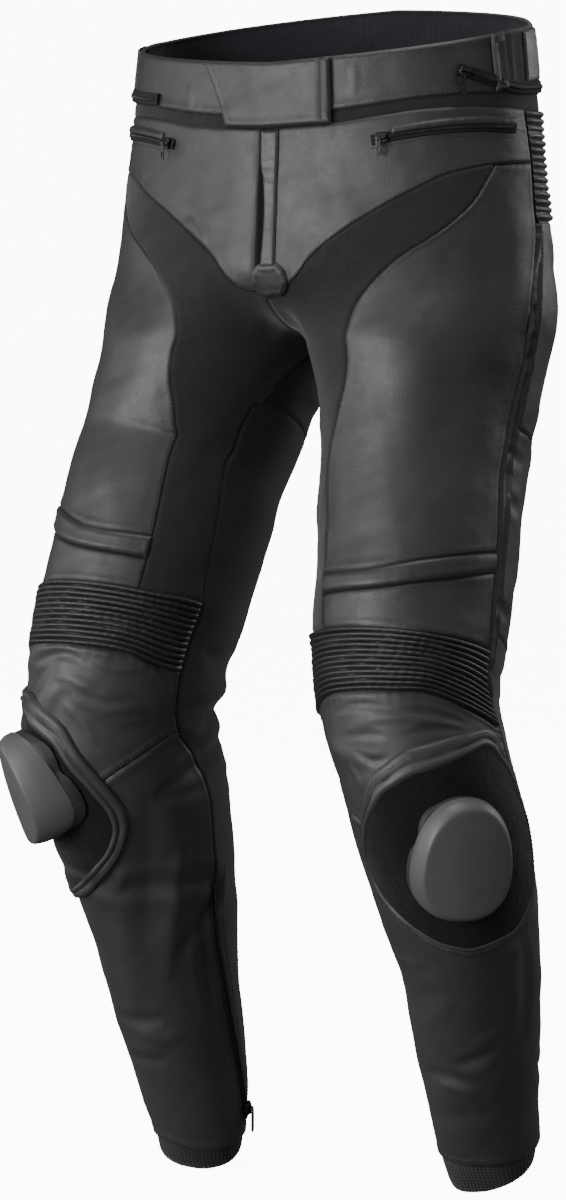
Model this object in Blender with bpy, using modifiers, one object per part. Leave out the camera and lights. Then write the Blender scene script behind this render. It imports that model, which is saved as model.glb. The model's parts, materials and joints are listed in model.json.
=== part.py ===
"""Motorcycle trousers in black leather and stretch fabric, standing as worn, with nobody in them.

Metres, +Z up. The front faces -Y and the wearer's left is +X. The origin is the middle of the
waist, level with the top edge of the band at the centre front, where the wearer holds them up.

Every cut piece is a patch of one surface, point(side, down, turn):
  side  +1 for the wearer's left half, -1 for the right half;
  down  metres down the garment from the top edge of the band;
  turn  0 at the centre front and the inside leg, 0.25 at the front of the leg, 0.5 at the outer
        side, 0.75 at the back, and 1 at the centre back and the inside leg again.
Seams are curves on that surface, given as short tables, and a piece is what lies between four.
"""
from math import cos, pi, radians, sin

import bmesh
import bpy
from mathutils import Matrix, Vector

SIDES = {"left": 1, "right": -1}

# ---- cloth and trims
LEATHER = 0.0020
STRETCH = 0.0014
CUFF_KNIT = 0.0024
CUFF_GAP = 0.0006
SEAM_GAP = 0.0005            # between two pieces at a seam
LAY = 0.0008                 # between a piece and what is sewn on top of it
NORMAL_STEP = 0.002          # step used to find the surface's direction
SETTLE = 14                  # passes that find a place between four curved seams

# ---- the body of the garment
HIP_FOOT = 0.160             # above this level the two halves make one ring
FORK = 0.222                 # below this level each leg has its own ring
CROTCH_RUN = FORK - HIP_FOOT
BACK_RISE = 0.056            # how much higher the band is at the centre back
RISE_FADE = 0.150            # level at which the rings are flat again
HIP_SQUARE = 2.25            # 2 is an ellipse, more is squarer
FRONT_GATHER = 0.0835        # brings the hip's turns over those of the leg's front and back
LEG_LEAN_RUN = 0.12          # run over which the leg's rings tilt to its slope
LEG_GIRTH = 2 * pi * 0.078   # a leg's girth at the knee

# columns: down, half width, front y, back y
HIPS = [
    (0.000, 0.171, -0.129, 0.096),
    (0.030, 0.174, -0.130, 0.097),
    (0.095, 0.183, -0.134, 0.098),
    (0.155, 0.192, -0.138, 0.097),
    (0.200, 0.196, -0.143, 0.088),
    (0.235, 0.198, -0.146, 0.080),
]
# columns: down, middle x, y, z, half width, half depth, degrees turned out.
# The knees are bent, and the right one more, so its seams sit higher.
LEGS = {
    1: [
        (0.222, 0.0985, -0.030, -0.2220, 0.0985, 0.1120, 0),
        (0.270, 0.1030, -0.040, -0.2700, 0.0885, 0.1060, 6),
        (0.325, 0.1060, -0.056, -0.3250, 0.0835, 0.1000, 10),
        (0.400, 0.1150, -0.085, -0.4045, 0.0800, 0.0975, 15),
        (0.463, 0.1205, -0.105, -0.4619, 0.0770, 0.0950, 15),
        (0.512, 0.1271, -0.120, -0.5087, 0.0710, 0.0925, 15),
        (0.570, 0.1399, -0.120, -0.5579, 0.0675, 0.0905, 15),
        (0.642, 0.1520, -0.100, -0.6322, 0.0668, 0.0855, 15),
        (0.738, 0.1550, -0.065, -0.7227, 0.0575, 0.0725, 15),
        (0.827, 0.1462, -0.035, -0.7984, 0.0512, 0.0572, 15),
        (0.893, 0.1402, -0.010, -0.8536, 0.0455, 0.0505, 15),
        (0.953, 0.1360, 0.010, -0.9018, 0.0420, 0.0390, 15),
        (0.970, 0.1362, 0.015, -0.9160, 0.0405, 0.0365, 15),
    ],
    -1: [
        (0.222, 0.0985, -0.030, -0.2220, 0.0985, 0.1120, 0),
        (0.270, 0.1090, -0.042, -0.2695, 0.0880, 0.1050, 6),
        (0.325, 0.1200, -0.058, -0.3214, 0.0815, 0.0980, 10),
        (0.400, 0.1230, -0.085, -0.3749, 0.0790, 0.0955, 15),
        (0.463, 0.1300, -0.105, -0.4369, 0.0765, 0.0940, 15),
        (0.512, 0.1358, -0.120, -0.4821, 0.0705, 0.0915, 15),
        (0.570, 0.1440, -0.120, -0.5455, 0.0670, 0.0885, 15),
        (0.642, 0.1376, -0.100, -0.6109, 0.0626, 0.0825, 15),
        (0.738, 0.1400, -0.065, -0.7007, 0.0560, 0.0705, 15),
        (0.827, 0.1432, -0.035, -0.7918, 0.0507, 0.0565, 15),
        (0.893, 0.1432, -0.010, -0.8571, 0.0450, 0.0495, 15),
        (0.953, 0.1455, 0.010, -0.9228, 0.0405, 0.0380, 15),
        (0.970, 0.1460, 0.014, -0.9360, 0.0395, 0.0360, 15),
    ],
}
# The largest folds, as soft ridges (+) and troughs (-) on the surface.
# columns: side, down, turn, half length, half width, lean in degrees, height
FOLDS = [
    (-1, 0.524, 0.30, 0.040, 0.009, 18, 0.0030),
    (-1, 0.540, 0.29, 0.042, 0.008, 24, -0.0032),
    (-1, 0.556, 0.26, 0.034, 0.008, 34, 0.0022),
    (-1, 0.540, 0.13, 0.036, 0.010, -12, 0.0024),
    (-1, 0.556, 0.86, 0.048, 0.011, 4, -0.0042),
    (-1, 0.536, 0.84, 0.044, 0.010, -5, 0.0036),
    (1, 0.556, 0.86, 0.048, 0.011, -4, -0.0042),
    (1, 0.536, 0.84, 0.044, 0.010, 5, 0.0036),
    (1, 0.545, 0.14, 0.034, 0.010, 14, 0.0022),
    (1, 0.300, 0.62, 0.050, 0.012, 16, -0.0030),
    (-1, 0.300, 0.62, 0.050, 0.012, -16, -0.0030),
    (1, 0.840, 0.24, 0.036, 0.012, 12, -0.0018),
    (-1, 0.850, 0.22, 0.036, 0.012, -10, -0.0018),
]

# ---- seams that run round the body. columns: turn, down
BAND_TOP = [(0.0, 0.0), (1.0, 0.0)]
BAND_FOOT = [(0.0, 0.043), (0.18, 0.043), (0.34, 0.040), (0.45, 0.044), (0.51, 0.048), (1.0, 0.048)]
STRIP_FOOT = [(0.0, 0.053), (0.18, 0.052), (0.34, 0.048), (0.45, 0.053), (0.51, 0.057), (1.0, 0.057)]
FRONT_YOKE_FOOT = [
    (0.00, 0.178), (0.08, 0.171), (0.13, 0.153), (0.21, 0.129), (0.254, 0.117),
    (0.30, 0.106), (0.34, 0.097), (0.40, 0.091), (0.50, 0.090),
]
BACK_YOKE_FOOT = [(0.50, 0.128), (0.75, 0.130), (1.0, 0.124)]
SEAT_FOOT = [(0.45, 0.296), (0.60, 0.305), (0.75, 0.302), (0.90, 0.290), (1.04, 0.276), (1.08, 0.276)]
ABOVE_KNEE = [(0.10, 0.427), (0.225, 0.430), (0.31, 0.420), (0.446, 0.399), (0.50, 0.392)]
TUCK_FOOT = [(0.10, 0.444), (0.246, 0.445), (0.34, 0.434), (0.446, 0.414), (0.50, 0.406)]
RIB_TOP = [(0.00, 0.465), (0.03, 0.465), (0.10, 0.471), (0.20, 0.477), (0.30, 0.481), (0.48, 0.481)]
RIB_FOOT = [
    (0.00, 0.518), (0.03, 0.518), (0.10, 0.513), (0.20, 0.514), (0.27, 0.517),
    (0.35, 0.522), (0.40, 0.533), (0.48, 0.556),
]
KNEE_FOOT = [
    (-0.02, 0.565), (0.00, 0.565), (0.08, 0.581), (0.13, 0.590),
    (0.20, 0.602), (0.35, 0.602), (0.50, 0.576),
]
THIGH_BACK_FOOT = [(0.45, 0.466), (0.80, 0.470)]
KNEE_BACK_FOOT = [(0.50, 0.600), (0.85, 0.600)]
INNER_BACK_FOOT = [(0.78, 0.558), (0.96, 0.565), (1.02, 0.565)]
HEM = [(-0.10, 0.943), (0.05, 0.944), (0.28, 0.935), (0.42, 0.941), (0.75, 0.944), (0.90, 0.943)]
CUFF_FOOT = [(-0.10, 0.955), (0.05, 0.963), (0.28, 0.961), (0.42, 0.955), (0.75, 0.950), (0.90, 0.955)]

# ---- seams that run down the body. columns: down, turn
INSEAM = [
    (0.222, 0.000), (0.246, 0.030), (0.275, 0.058), (0.324, 0.052), (0.390, 0.028),
    (0.434, 0.022), (0.472, 0.012), (0.550, 0.006), (0.594, -0.024), (0.640, -0.042),
    (0.700, -0.034), (0.760, -0.014), (0.802, -0.030), (0.864, -0.046), (0.950, -0.088),
]
THIGH_EDGE = [
    (0.090, 0.429), (0.100, 0.412), (0.116, 0.385), (0.130, 0.352), (0.140, 0.325),
    (0.155, 0.280), (0.170, 0.246), (0.186, 0.227), (0.206, 0.221), (0.234, 0.212),
    (0.264, 0.188), (0.286, 0.168), (0.312, 0.150), (0.348, 0.125), (0.400, 0.116),
    (0.448, 0.115), (0.475, 0.114),
]
SIDE_FRONT = [
    (0.088, 0.500), (0.134, 0.498), (0.180, 0.483), (0.230, 0.471), (0.280, 0.453),
    (0.320, 0.442), (0.360, 0.435), (0.400, 0.438), (0.460, 0.446), (0.545, 0.482),
    (0.560, 0.490), (0.600, 0.520),
]
SIDE_BACK = [
    (0.088, 0.506), (0.134, 0.506), (0.180, 0.500), (0.230, 0.492), (0.280, 0.476),
    (0.340, 0.466), (0.400, 0.462), (0.460, 0.466), (0.510, 0.476), (0.560, 0.490),
    (0.600, 0.520), (0.700, 0.575), (0.800, 0.600), (0.950, 0.610),
]
BACK_INNER = [(0.260, 0.800), (0.600, 0.800), (0.700, 0.835), (0.800, 0.865), (0.950, 0.870)]

# Levels at which the pieces on both sides of a seam have their points.
INSIDE_LEG = [FORK + 0.027 * k for k in range(10)]
INSIDE_KNEE = [0.4915, 0.518, 0.52975, 0.5415, 0.55325, 0.565]
SEAT_INSIDE = [0.124, 0.1436, 0.1632, 0.1828, 0.2024] + INSIDE_LEG[:3]
STRETCH_TIP = (0.097, 0.405)            # down on its lower edge, turn on its upper edge
STRETCH_TURN = 0.190                    # level of its lower edge where the upper meets the front
STRETCH_PASS = 0.262                    # level of its lower edge where the upper meets the fork
STRETCH_ROWS = (9, 4, 9)                # down to each of those, and down the leg
STRIP_LEVELS = [0.131, 0.150, 0.171, 0.193, 0.215, 0.237, 0.266, 0.296]
STRIP_LEVELS += [0.296 + 0.0243 * k for k in range(1, 8)] + [0.485, 0.504, 0.524, 0.545]
KNEE_BACK_LEVELS = [0.466, 0.485, 0.504, 0.524, 0.545, 0.560, 0.576, 0.600]

# ---- the ribbed stretch panels
KNEE_RIBS = 12
BACK_RIBS = 15
RIB_HEIGHT = 0.0030

# ---- fastenings
TAB_THICK = 0.0032
TAB_RIGHT_END = [(0.00, 0.172), (0.052, 0.105)]      # down, turn on the right half
TAB_LEFT_END = 0.168
TAB_FOOT = 0.053
FLY_TOP = 0.0545
FLY_FOOT = 0.163
FLY_COVER = (0.012, 0.046)              # turns of its two edges, on the left
FLY_ZIP_HALF = 0.008
# columns: down, turn of the right end on the right half, turn of the left end
FLY_TAB = [
    (0.1645, 0.020, 0.060), (0.1670, 0.030, 0.070), (0.1710, 0.034, 0.074),
    (0.1745, 0.026, 0.064), (0.1765, 0.008, 0.044),
]
ZIP_TAPE = 0.0016
SLIDER_HIGH = 0.0040
# The zip that joins a jacket, from the left front round the back. columns: share, turn, down
WAIST_ZIP_LEFT = [
    (0.00, 0.375, 0.022), (0.05, 0.404, 0.028), (0.12, 0.467, 0.040), (0.20, 0.537, 0.044),
    (0.50, 1.000, 0.044),
]
WAIST_ZIP_RIGHT_END = (0.290, 0.034)    # turn, down
POCKET_TURNS = (0.240, 0.470)
POCKET_DOWN = 0.0675
POCKET_ARCH = 0.0045                    # how much higher its middle is
CALF_ZIP = (0.712, 0.930)

# ---- knee slider and its patch
PATCH_THICK = 0.0022
PATCH_LIFT = 0.0030
PUCK_LIFT = 0.0010
# columns: down, inner turn, outer turn
PATCH_EDGE = [
    (0.552, 0.270, 0.440), (0.562, 0.196, 0.470), (0.590, 0.142, 0.490), (0.612, 0.120, 0.498),
    (0.630, 0.120, 0.500), (0.650, 0.144, 0.494), (0.668, 0.190, 0.478), (0.684, 0.240, 0.450),
    (0.695, 0.300, 0.402),
]
PATCH_MIDDLE = 0.615
PATCH_STRETCH = {1: 1.0, -1: 1.12}      # the more bent knee spreads its patch over more of down
PUCK_DOWN = {1: 0.621, -1: 0.593}
PUCK_TURN = {1: 0.3135, -1: 0.274}
PUCK_HALF_LONG = 0.0480
PUCK_HALF_WIDE = 0.0390
PUCK_LEAN = {1: -20, -1: -10}    # degrees that its upper end leans to the outer side
PUCK_TILT = {1: 3, -1: 30}       # degrees that its face is turned further to the outer side
PUCK_SQUARE = 2.3
PUCK_SIDES = 28
# columns: share of the outline, height over the patch, how far it is flat and not bent to the leg
PUCK_PROFILE = [
    (0.95, 0.0000, 0.0), (1.00, 0.0035, 0.0), (1.00, 0.0142, 0.3), (0.955, 0.0198, 0.5),
    (0.90, 0.0218, 0.6), (0.50, 0.0226, 0.6),
]
PUCK_TOP = 0.0230

# ---- zip pulls
PULL_THICK = 0.0012
PULL_EAR = 0.0006            # how far the pull reaches past its hinge
PULL_CLEAR = 0.0006          # between a pull and the slider behind it

COLOURS = {
    "leather": ((0.018, 0.018, 0.019), 0.42, 0.0),
    "stretch fabric": ((0.012, 0.012, 0.013), 0.85, 0.0),
    "waist lining": ((0.010, 0.011, 0.014), 0.80, 0.0),
    "knitted cuff": ((0.010, 0.010, 0.010), 0.90, 0.0),
    "loop pile": ((0.004, 0.004, 0.004), 0.98, 0.0),
    "slider plastic": ((0.028, 0.028, 0.029), 0.45, 0.0),
    "zip tape": ((0.008, 0.008, 0.008), 0.90, 0.0),
    "zip metal": ((0.10, 0.10, 0.105), 0.38, 0.9),
}


def smooth(rows, column, x):
    """Read a table at x, on a smooth curve through its rows."""
    if x <= rows[0][0]:
        return rows[0][column]
    if x >= rows[-1][0]:
        return rows[-1][column]
    last = len(rows) - 1
    i = max(k for k in range(last) if rows[k][0] <= x)
    run = rows[i + 1][0] - rows[i][0]

    def slope_between(k):
        return (rows[k + 1][column] - rows[k][column]) / (rows[k + 1][0] - rows[k][0])

    def slope_at(k):
        if k == 0:
            return slope_between(0)
        if k == last:
            return slope_between(last - 1)
        share = (rows[k + 1][0] - rows[k][0]) / (rows[k + 1][0] - rows[k - 1][0])
        return slope_between(k - 1) * share + slope_between(k) * (1 - share)

    s = (x - rows[i][0]) / run
    start = (1 + 2 * s) * (1 - s) ** 2 * rows[i][column] + s * (1 - s) ** 2 * run * slope_at(i)
    end = s * s * (3 - 2 * s) * rows[i + 1][column] + s * s * (s - 1) * run * slope_at(i + 1)
    return start + end


def ease(s):
    s = min(1.0, max(0.0, s))
    return s * s * (3 - 2 * s)


def rounded(value, square):
    """A sine or cosine, squared off for a ring that is fuller at its corners."""
    size = abs(value) ** (2 / square)
    return size if value >= 0 else -size


def hip_point(side, down, turn):
    half, front, back = (smooth(HIPS, column, down) for column in (1, 2, 3))
    angle = pi * (turn - FRONT_GATHER * sin(2 * pi * turn))
    x = side * half * rounded(sin(angle), HIP_SQUARE)
    y = (front + back) / 2 - (back - front) / 2 * rounded(cos(angle), HIP_SQUARE)
    rise = BACK_RISE * (0.5 * angle / pi + 0.25 * (1 - cos(angle)))
    return Vector((x, y, rise * (1 - ease(down / RISE_FADE)) - down))


def leg_middle(side, down):
    x, y, z = (smooth(LEGS[side], column, down) for column in (1, 2, 3))
    return Vector((side * x, y, z))


def leg_point(side, down, turn):
    table = LEGS[side]
    low = max(down - NORMAL_STEP, table[0][0])
    high = min(down + NORMAL_STEP, table[-1][0])
    along = (leg_middle(side, high) - leg_middle(side, low)).normalized()
    lean = ease((down - FORK) / LEG_LEAN_RUN)
    along = (along * lean + Vector((0, 0, -1)) * (1 - lean)).normalized()
    turned = radians(smooth(table, 6, down))
    ahead = Vector((side * sin(turned), -cos(turned), 0))
    ahead = (ahead - along * ahead.dot(along)).normalized()
    outward = along.cross(ahead) * -side
    half_width, half_depth = (smooth(table, column, down) for column in (4, 5))
    angle = 2 * pi * turn
    return leg_middle(side, down) - outward * half_width * cos(angle) + ahead * half_depth * sin(angle)


def plain_point(side, down, turn):
    """The garment's surface before it is creased."""
    if down >= FORK:
        return leg_point(side, down, turn)
    if down <= HIP_FOOT:
        return hip_point(side, down, turn)
    share = (down - HIP_FOOT) / CROTCH_RUN
    edge = (2 * turn - 1) ** 2
    blend = edge * (1 - cos(share * pi / 2)) + (1 - edge) * ease(share)
    drop = edge * sin(share * pi / 2) + (1 - edge) * share
    spot = hip_point(side, down, turn).lerp(leg_point(side, FORK, turn), blend)
    spot.z = -(HIP_FOOT + CROTCH_RUN * drop)
    return spot


def plain_normal(side, down, turn):
    """The direction out of the garment."""
    floor = 0.0 if down < FORK else turn - 1
    roof = 1.0 if down < FORK else turn + 1
    step = NORMAL_STEP * 2
    before = plain_point(side, down, max(floor, turn - step))
    after = plain_point(side, down, min(roof, turn + step))
    above = plain_point(side, max(0.0, down - NORMAL_STEP), turn)
    below = plain_point(side, down + NORMAL_STEP, turn)
    outward = (below - above).cross(after - before) * side
    if down < FORK and turn in (0.0, 1.0):
        outward.x = 0.0
    return outward.normalized()


def crease(side, down, turn):
    """Height of the folds at a place on the surface."""
    height = 0.0
    for fold_side, fold_down, fold_turn, length, width, lean, top in FOLDS:
        if fold_side != side or abs(down - fold_down) > 3 * length:
            continue
        across = (turn - fold_turn + 0.5) % 1.0 - 0.5
        across *= LEG_GIRTH
        fall = down - fold_down
        along = across * cos(radians(lean)) + fall * sin(radians(lean))
        aside = fall * cos(radians(lean)) - across * sin(radians(lean))
        height += top * 2.718 ** (-((along / length) ** 2) - (aside / width) ** 2)
    return height


def place(side, down, turn, lift=0.0):
    """A point on the garment, or lift metres outside it, and the direction out of it there."""
    outward = plain_normal(side, down, turn)
    return plain_point(side, down, turn) + outward * (crease(side, down, turn) + lift), outward


def seam(rows):
    return lambda x: smooth(rows, 1, x)


def level(value):
    return lambda x: value


def shifted(curve, amount):
    return lambda x: curve(x) + amount


def between(a, b, share):
    return a + (b - a) * share


def even(count):
    return [k / count for k in range(count + 1)]


def shares_of(levels):
    """Levels as shares of the way from the first to the last."""
    return [(x - levels[0]) / (levels[-1] - levels[0]) for x in levels]


def spread(left, right, top, bottom, columns, rows):
    """Places between four seams: left and right give turn for down, top and bottom the reverse.

    columns and rows are counts, or lists of shares of the way across or down."""
    columns = even(columns) if isinstance(columns, int) else columns
    rows = even(rows) if isinstance(rows, int) else rows
    grid = []
    for fall in rows:
        line = []
        for across in columns:
            down = between(top(0.3), bottom(0.3), fall)
            turn = between(left(down), right(down), across)
            for _ in range(SETTLE):
                down = between(top(turn), bottom(turn), fall)
                turn = between(left(down), right(down), across)
            line.append((down, turn))
        grid.append(line)
    return grid


def on_side(side, grid):
    return [[(side, down, turn) for down, turn in line] for line in grid]


def join_at_back(left_grid, right_grid):
    """One grid from the left half round the centre back to the right half."""
    return [
        [(1, down, turn) for down, turn in left] + [(-1, down, turn) for down, turn in right[-2::-1]]
        for left, right in zip(left_grid, right_grid)
    ]


materials = {}
collection = bpy.data.collections.new("motorcycle trousers")


def material(name):
    if name not in materials:
        colour, roughness, metallic = COLOURS[name]
        made = bpy.data.materials.new(name)
        made.use_nodes = True
        shader = made.node_tree.nodes["Principled BSDF"]
        shader.inputs["Base Color"].default_value = (*colour, 1)
        shader.inputs["Roughness"].default_value = roughness
        shader.inputs["Metallic"].default_value = metallic
        materials[name] = made
    return materials[name]


def finish(name, mesh, finish_name):
    bmesh.ops.recalc_face_normals(mesh, faces=mesh.faces)
    data = bpy.data.meshes.new(name)
    mesh.to_mesh(data)
    mesh.free()
    data.materials.append(material(finish_name))
    data.shade_smooth()
    data.set_sharp_from_angle(angle=radians(40))
    piece = bpy.data.objects.new(name, data)
    collection.objects.link(piece)
    return piece


def drawn_in(points, amount, ring):
    """The grid with its border pulled in along the cloth, which opens the gap at the seams."""
    last_row = len(points) - 1
    last = len(points[0]) - 1
    moved = [[p.copy() for p in line] for line in points]
    for j in range(last_row + 1):
        for i in range(last + 1):
            if j in (0, last_row):
                inner = points[1 if j == 0 else last_row - 1][i]
                moved[j][i] += (inner - points[j][i]).normalized() * amount
            if not ring and i in (0, last):
                inner = points[j][1 if i == 0 else last - 1]
                moved[j][i] += (inner - points[j][i]).normalized() * amount
    return moved


def wall(name, grid, thick, finish_name, lift=None, ring=False, raise_by=None):
    """A sewn piece: a grid of places, made a closed wall of its thickness.

    Without lift the outer side lies on the garment's surface. With lift the piece lies on top
    of it, that far out. raise_by(j, i) lifts outer points more, for ribs and sliders."""
    base = -thick if lift is None else lift
    pairs = [[place(side, down, turn) for side, down, turn in line] for line in grid]
    skin = drawn_in([[p for p, _ in line] for line in pairs], SEAM_GAP / 2, ring)
    mesh = bmesh.new()
    sheets = []
    for height, shaped in ((base + thick, True), (base, False)):
        sheet = []
        for j, line in enumerate(skin):
            points = line[:-1] if ring else line
            sheet.append([
                mesh.verts.new(
                    point + pairs[j][i][1] * (height + (raise_by(j, i) if shaped and raise_by else 0))
                )
                for i, point in enumerate(points)
            ])
        sheets.append(sheet)
    outer, inner = sheets
    rows = len(outer)
    columns = len(outer[0])
    steps = range(columns if ring else columns - 1)
    for j in range(rows - 1):
        for i in steps:
            k = (i + 1) % columns
            mesh.faces.new((outer[j][i], outer[j][k], outer[j + 1][k], outer[j + 1][i]))
            mesh.faces.new((inner[j][i], inner[j + 1][i], inner[j + 1][k], inner[j][k]))
    for j in (0, rows - 1):
        for i in steps:
            k = (i + 1) % columns
            mesh.faces.new((outer[j][i], outer[j][k], inner[j][k], inner[j][i]))
    if not ring:
        for i in (0, columns - 1):
            for j in range(rows - 1):
                mesh.faces.new((outer[j][i], outer[j + 1][i], inner[j + 1][i], inner[j][i]))
    return finish(name, mesh, finish_name)


def ribs(j, _):
    return RIB_HEIGHT if j % 2 else 0.0


# ---------------------------------------------------------------- waist
def make_waist():
    front_end = 0.452
    for name, side in SIDES.items():
        band = spread(level(0.0), level(front_end), seam(BAND_TOP), seam(BAND_FOOT), 12, 2)
        wall(f"waistband_front_{name}", on_side(side, band), LEATHER, "leather")
        strip = spread(level(0.10), level(1.0), seam(BAND_FOOT), seam(STRIP_FOOT), 24, 1)
        wall(f"waist_strip_{name}", on_side(side, strip), STRETCH, "stretch fabric")
        loop = spread(level(0.436), level(0.462), level(0.0008), level(0.0280), 2, 3)
        wall(f"band_loop_{name}", on_side(side, loop), LEATHER, "leather", lift=LAY)
    back = spread(level(front_end), level(1.0), seam(BAND_TOP), seam(BAND_FOOT), 10, 2)
    wall("waistband_back", join_at_back(back, back), LEATHER, "stretch fabric")
    yoke = spread(level(0.502), level(1.0), seam(STRIP_FOOT), seam(BACK_YOKE_FOOT), 7, 2 * BACK_RIBS)
    wall("back_yoke", join_at_back(yoke, yoke), STRETCH, "leather", raise_by=ribs)


def make_closure_tab():
    """The band's closing tab, sewn on at the left and fastened over the right front."""
    columns = 16
    grid = []
    for share in (0.0, 0.34, 0.67, 1.0):
        down = between(0.0005, TAB_FOOT, share)
        right_end = smooth(TAB_RIGHT_END, 1, down)
        line = []
        for i in range(columns + 1):
            along = between(-right_end, TAB_LEFT_END, i / columns)
            line.append((1 if along >= 0 else -1, down, abs(along)))
        grid.append(line)
    wall("closure_tab", grid, TAB_THICK, "leather", lift=LAY)


# ---------------------------------------------------------------- front
def make_front():
    hip = STRETCH_ROWS[0]
    turns = [STRETCH_TIP[1] * k / hip for k in range(hip + 1)] + [0.452, 0.50]
    columns = shares_of(turns)
    for name, side in SIDES.items():
        yoke = spread(level(0.0), level(0.50), seam(STRIP_FOOT), seam(FRONT_YOKE_FOOT), columns, 5)
        wall(f"front_yoke_{name}", on_side(side, yoke), LEATHER, "leather")


def make_fly():
    """The fly: a covering strip on the left, a slim zip beside it, and a rounded tab at its foot."""
    cover = spread(level(FLY_COVER[0]), level(FLY_COVER[1]), level(FLY_TOP), level(FLY_FOOT), 2, 8)
    wall("fly_strip", on_side(1, cover), STRETCH, "stretch fabric", lift=LAY)
    grid = []
    for j in range(9):
        down = between(FLY_TOP, FLY_FOOT, j / 8)
        grid.append([(1, down, FLY_ZIP_HALF), (1, down, 0.0), (-1, down, FLY_ZIP_HALF)])
    wall("fly_zip", grid, ZIP_TAPE, "zip tape", lift=LAY)
    grid = []
    for down, right_end, left_end in FLY_TAB:
        line = []
        for i in range(7):
            along = between(-right_end, left_end, i / 6)
            line.append((1 if along >= 0 else -1, down, abs(along)))
        grid.append(line)
    wall("fly_tab", grid, LEATHER, "leather", lift=LAY)


# ---------------------------------------------------------------- zips
def make_zip(name, path, half_width, start, end, steps):
    """A zip on the cloth: path(share) gives side, down, turn of its middle; half_width is along
    down for a zip that runs round the body and along turn for one that runs down it."""
    across_down, across_turn = half_width
    slope = 0.15 / steps
    shares = even(steps)
    shares = [x for x in shares if x < start - slope or x > end + slope]
    shares = sorted(shares + [start - slope, start, end, end + slope])
    grid = []
    for share in shares:
        side, down, turn = path(share)
        grid.append([(side, down + k * across_down, turn + k * across_turn) for k in (-1, 0, 1)])
    high = {shares.index(start), shares.index(end)}

    def slider(j, _):
        return SLIDER_HIGH if j in high else 0.0

    wall(name, grid, ZIP_TAPE, "zip tape", lift=LAY, raise_by=slider)


def make_pull(name, side, down, turn, width, length):
    """A pull that hangs from a hinge on the front of its slider, straight down."""
    top, outward = place(side, down, turn)
    outward = Vector((outward.x, outward.y, 0)).normalized()
    reach = LAY + ZIP_TAPE + SLIDER_HIGH + PULL_CLEAR + PULL_THICK / 2
    pivot = top + outward * reach
    bpy.ops.mesh.primitive_cube_add(size=1)
    pull = bpy.context.object
    pull.name = name
    pull.data.name = name
    for old in list(pull.users_collection):
        old.objects.unlink(pull)
    collection.objects.link(pull)
    pull.data.transform(Matrix.Diagonal((width, PULL_THICK, length + PULL_EAR, 1)))
    pull.data.transform(Matrix.Translation((0, 0, (PULL_EAR - length) / 2)))
    round_off = pull.modifiers.new("Rounded edges", "BEVEL")
    round_off.width = 0.0004
    round_off.segments = 1
    pull.data.materials.append(material("zip metal"))
    across = Vector((0, 0, 1)).cross(outward)
    pull.matrix_world = Matrix((across, outward, Vector((0, 0, 1)))).transposed().to_4x4()
    pull.location = pivot
    return pivot, across


def waist_zip_path(share):
    if share <= 0.5:
        return 1, smooth(WAIST_ZIP_LEFT, 2, share), smooth(WAIST_ZIP_LEFT, 1, share)
    end_turn, end_down = WAIST_ZIP_RIGHT_END
    _, middle_turn, middle_down = WAIST_ZIP_LEFT[-1]
    along = 2 * share - 1
    return -1, between(middle_down, end_down, along), between(middle_turn, end_turn, along)


def make_zips():
    """The zip that joins jacket to trousers, the two hand pockets and the two calf zips."""
    make_zip("waist_zip", waist_zip_path, (0.0035, 0.0), 0.008, 0.024, 44)
    make_pull("waist_zip_pull", 1, 0.026, 0.381, 0.0050, 0.018)
    for name, side in SIDES.items():

        def pocket_path(share, side=side):
            return side, POCKET_DOWN - POCKET_ARCH * sin(pi * share), between(*POCKET_TURNS, share)

        make_zip(f"pocket_zip_{name}", pocket_path, (0.0050, 0.0), 0.04, 0.13, 12)
        make_pull(f"pocket_pull_{name}", side, 0.0660, 0.254, 0.0042, 0.014)

        def calf_path(share, side=side):
            down = between(*CALF_ZIP, share)
            return side, down, smooth(INSEAM, 1, down)

        make_zip(f"calf_zip_{name}", calf_path, (0.0, 0.0130), 0.93, 0.975, 14)
        make_pull(f"calf_pull_{name}", side, 0.920, smooth(INSEAM, 1, 0.920), 0.0055, 0.022)


# ---------------------------------------------------------------- legs, front
def stretch_edge_levels():
    """Levels of the stretch panel's lower edge, which the thigh's leather shares."""
    foot = smooth(RIB_TOP, 1, 0.114)
    stops = [STRETCH_TIP[0], STRETCH_TURN, STRETCH_PASS, foot]
    levels = [stops[0]]
    for start, stop, count in zip(stops, stops[1:], STRETCH_ROWS):
        levels += [between(start, stop, k / count) for k in range(1, count + 1)]
    return levels


def stretch_upper_edge():
    """Places down the panel's upper edge: the yoke, then the centre front, then the inside leg."""
    hip, fork, _ = STRETCH_ROWS
    places = []
    for k in range(hip):
        turn = between(STRETCH_TIP[1], 0.0, k / hip)
        places.append((smooth(FRONT_YOKE_FOOT, 1, turn), turn))
    centre = FRONT_YOKE_FOOT[0][1]
    places += [(between(centre, FORK, k / fork), 0.0) for k in range(fork)]
    places += [(down, smooth(INSEAM, 1, down)) for down in INSIDE_LEG]
    return places


def stretch_grid(columns):
    """The stretch panel from the hip, across the fork and down the inside leg to the knee."""
    grid = []
    for (inner_down, inner_turn), outer_down in zip(stretch_upper_edge(), stretch_edge_levels()):
        outer_turn = smooth(THIGH_EDGE, 1, outer_down)
        grid.append([
            (between(inner_down, outer_down, share), between(inner_turn, outer_turn, share))
            for share in even(columns)
        ])
    grid[-1] = [(smooth(RIB_TOP, 1, turn), turn) for _, turn in grid[-1]]
    return grid


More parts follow.
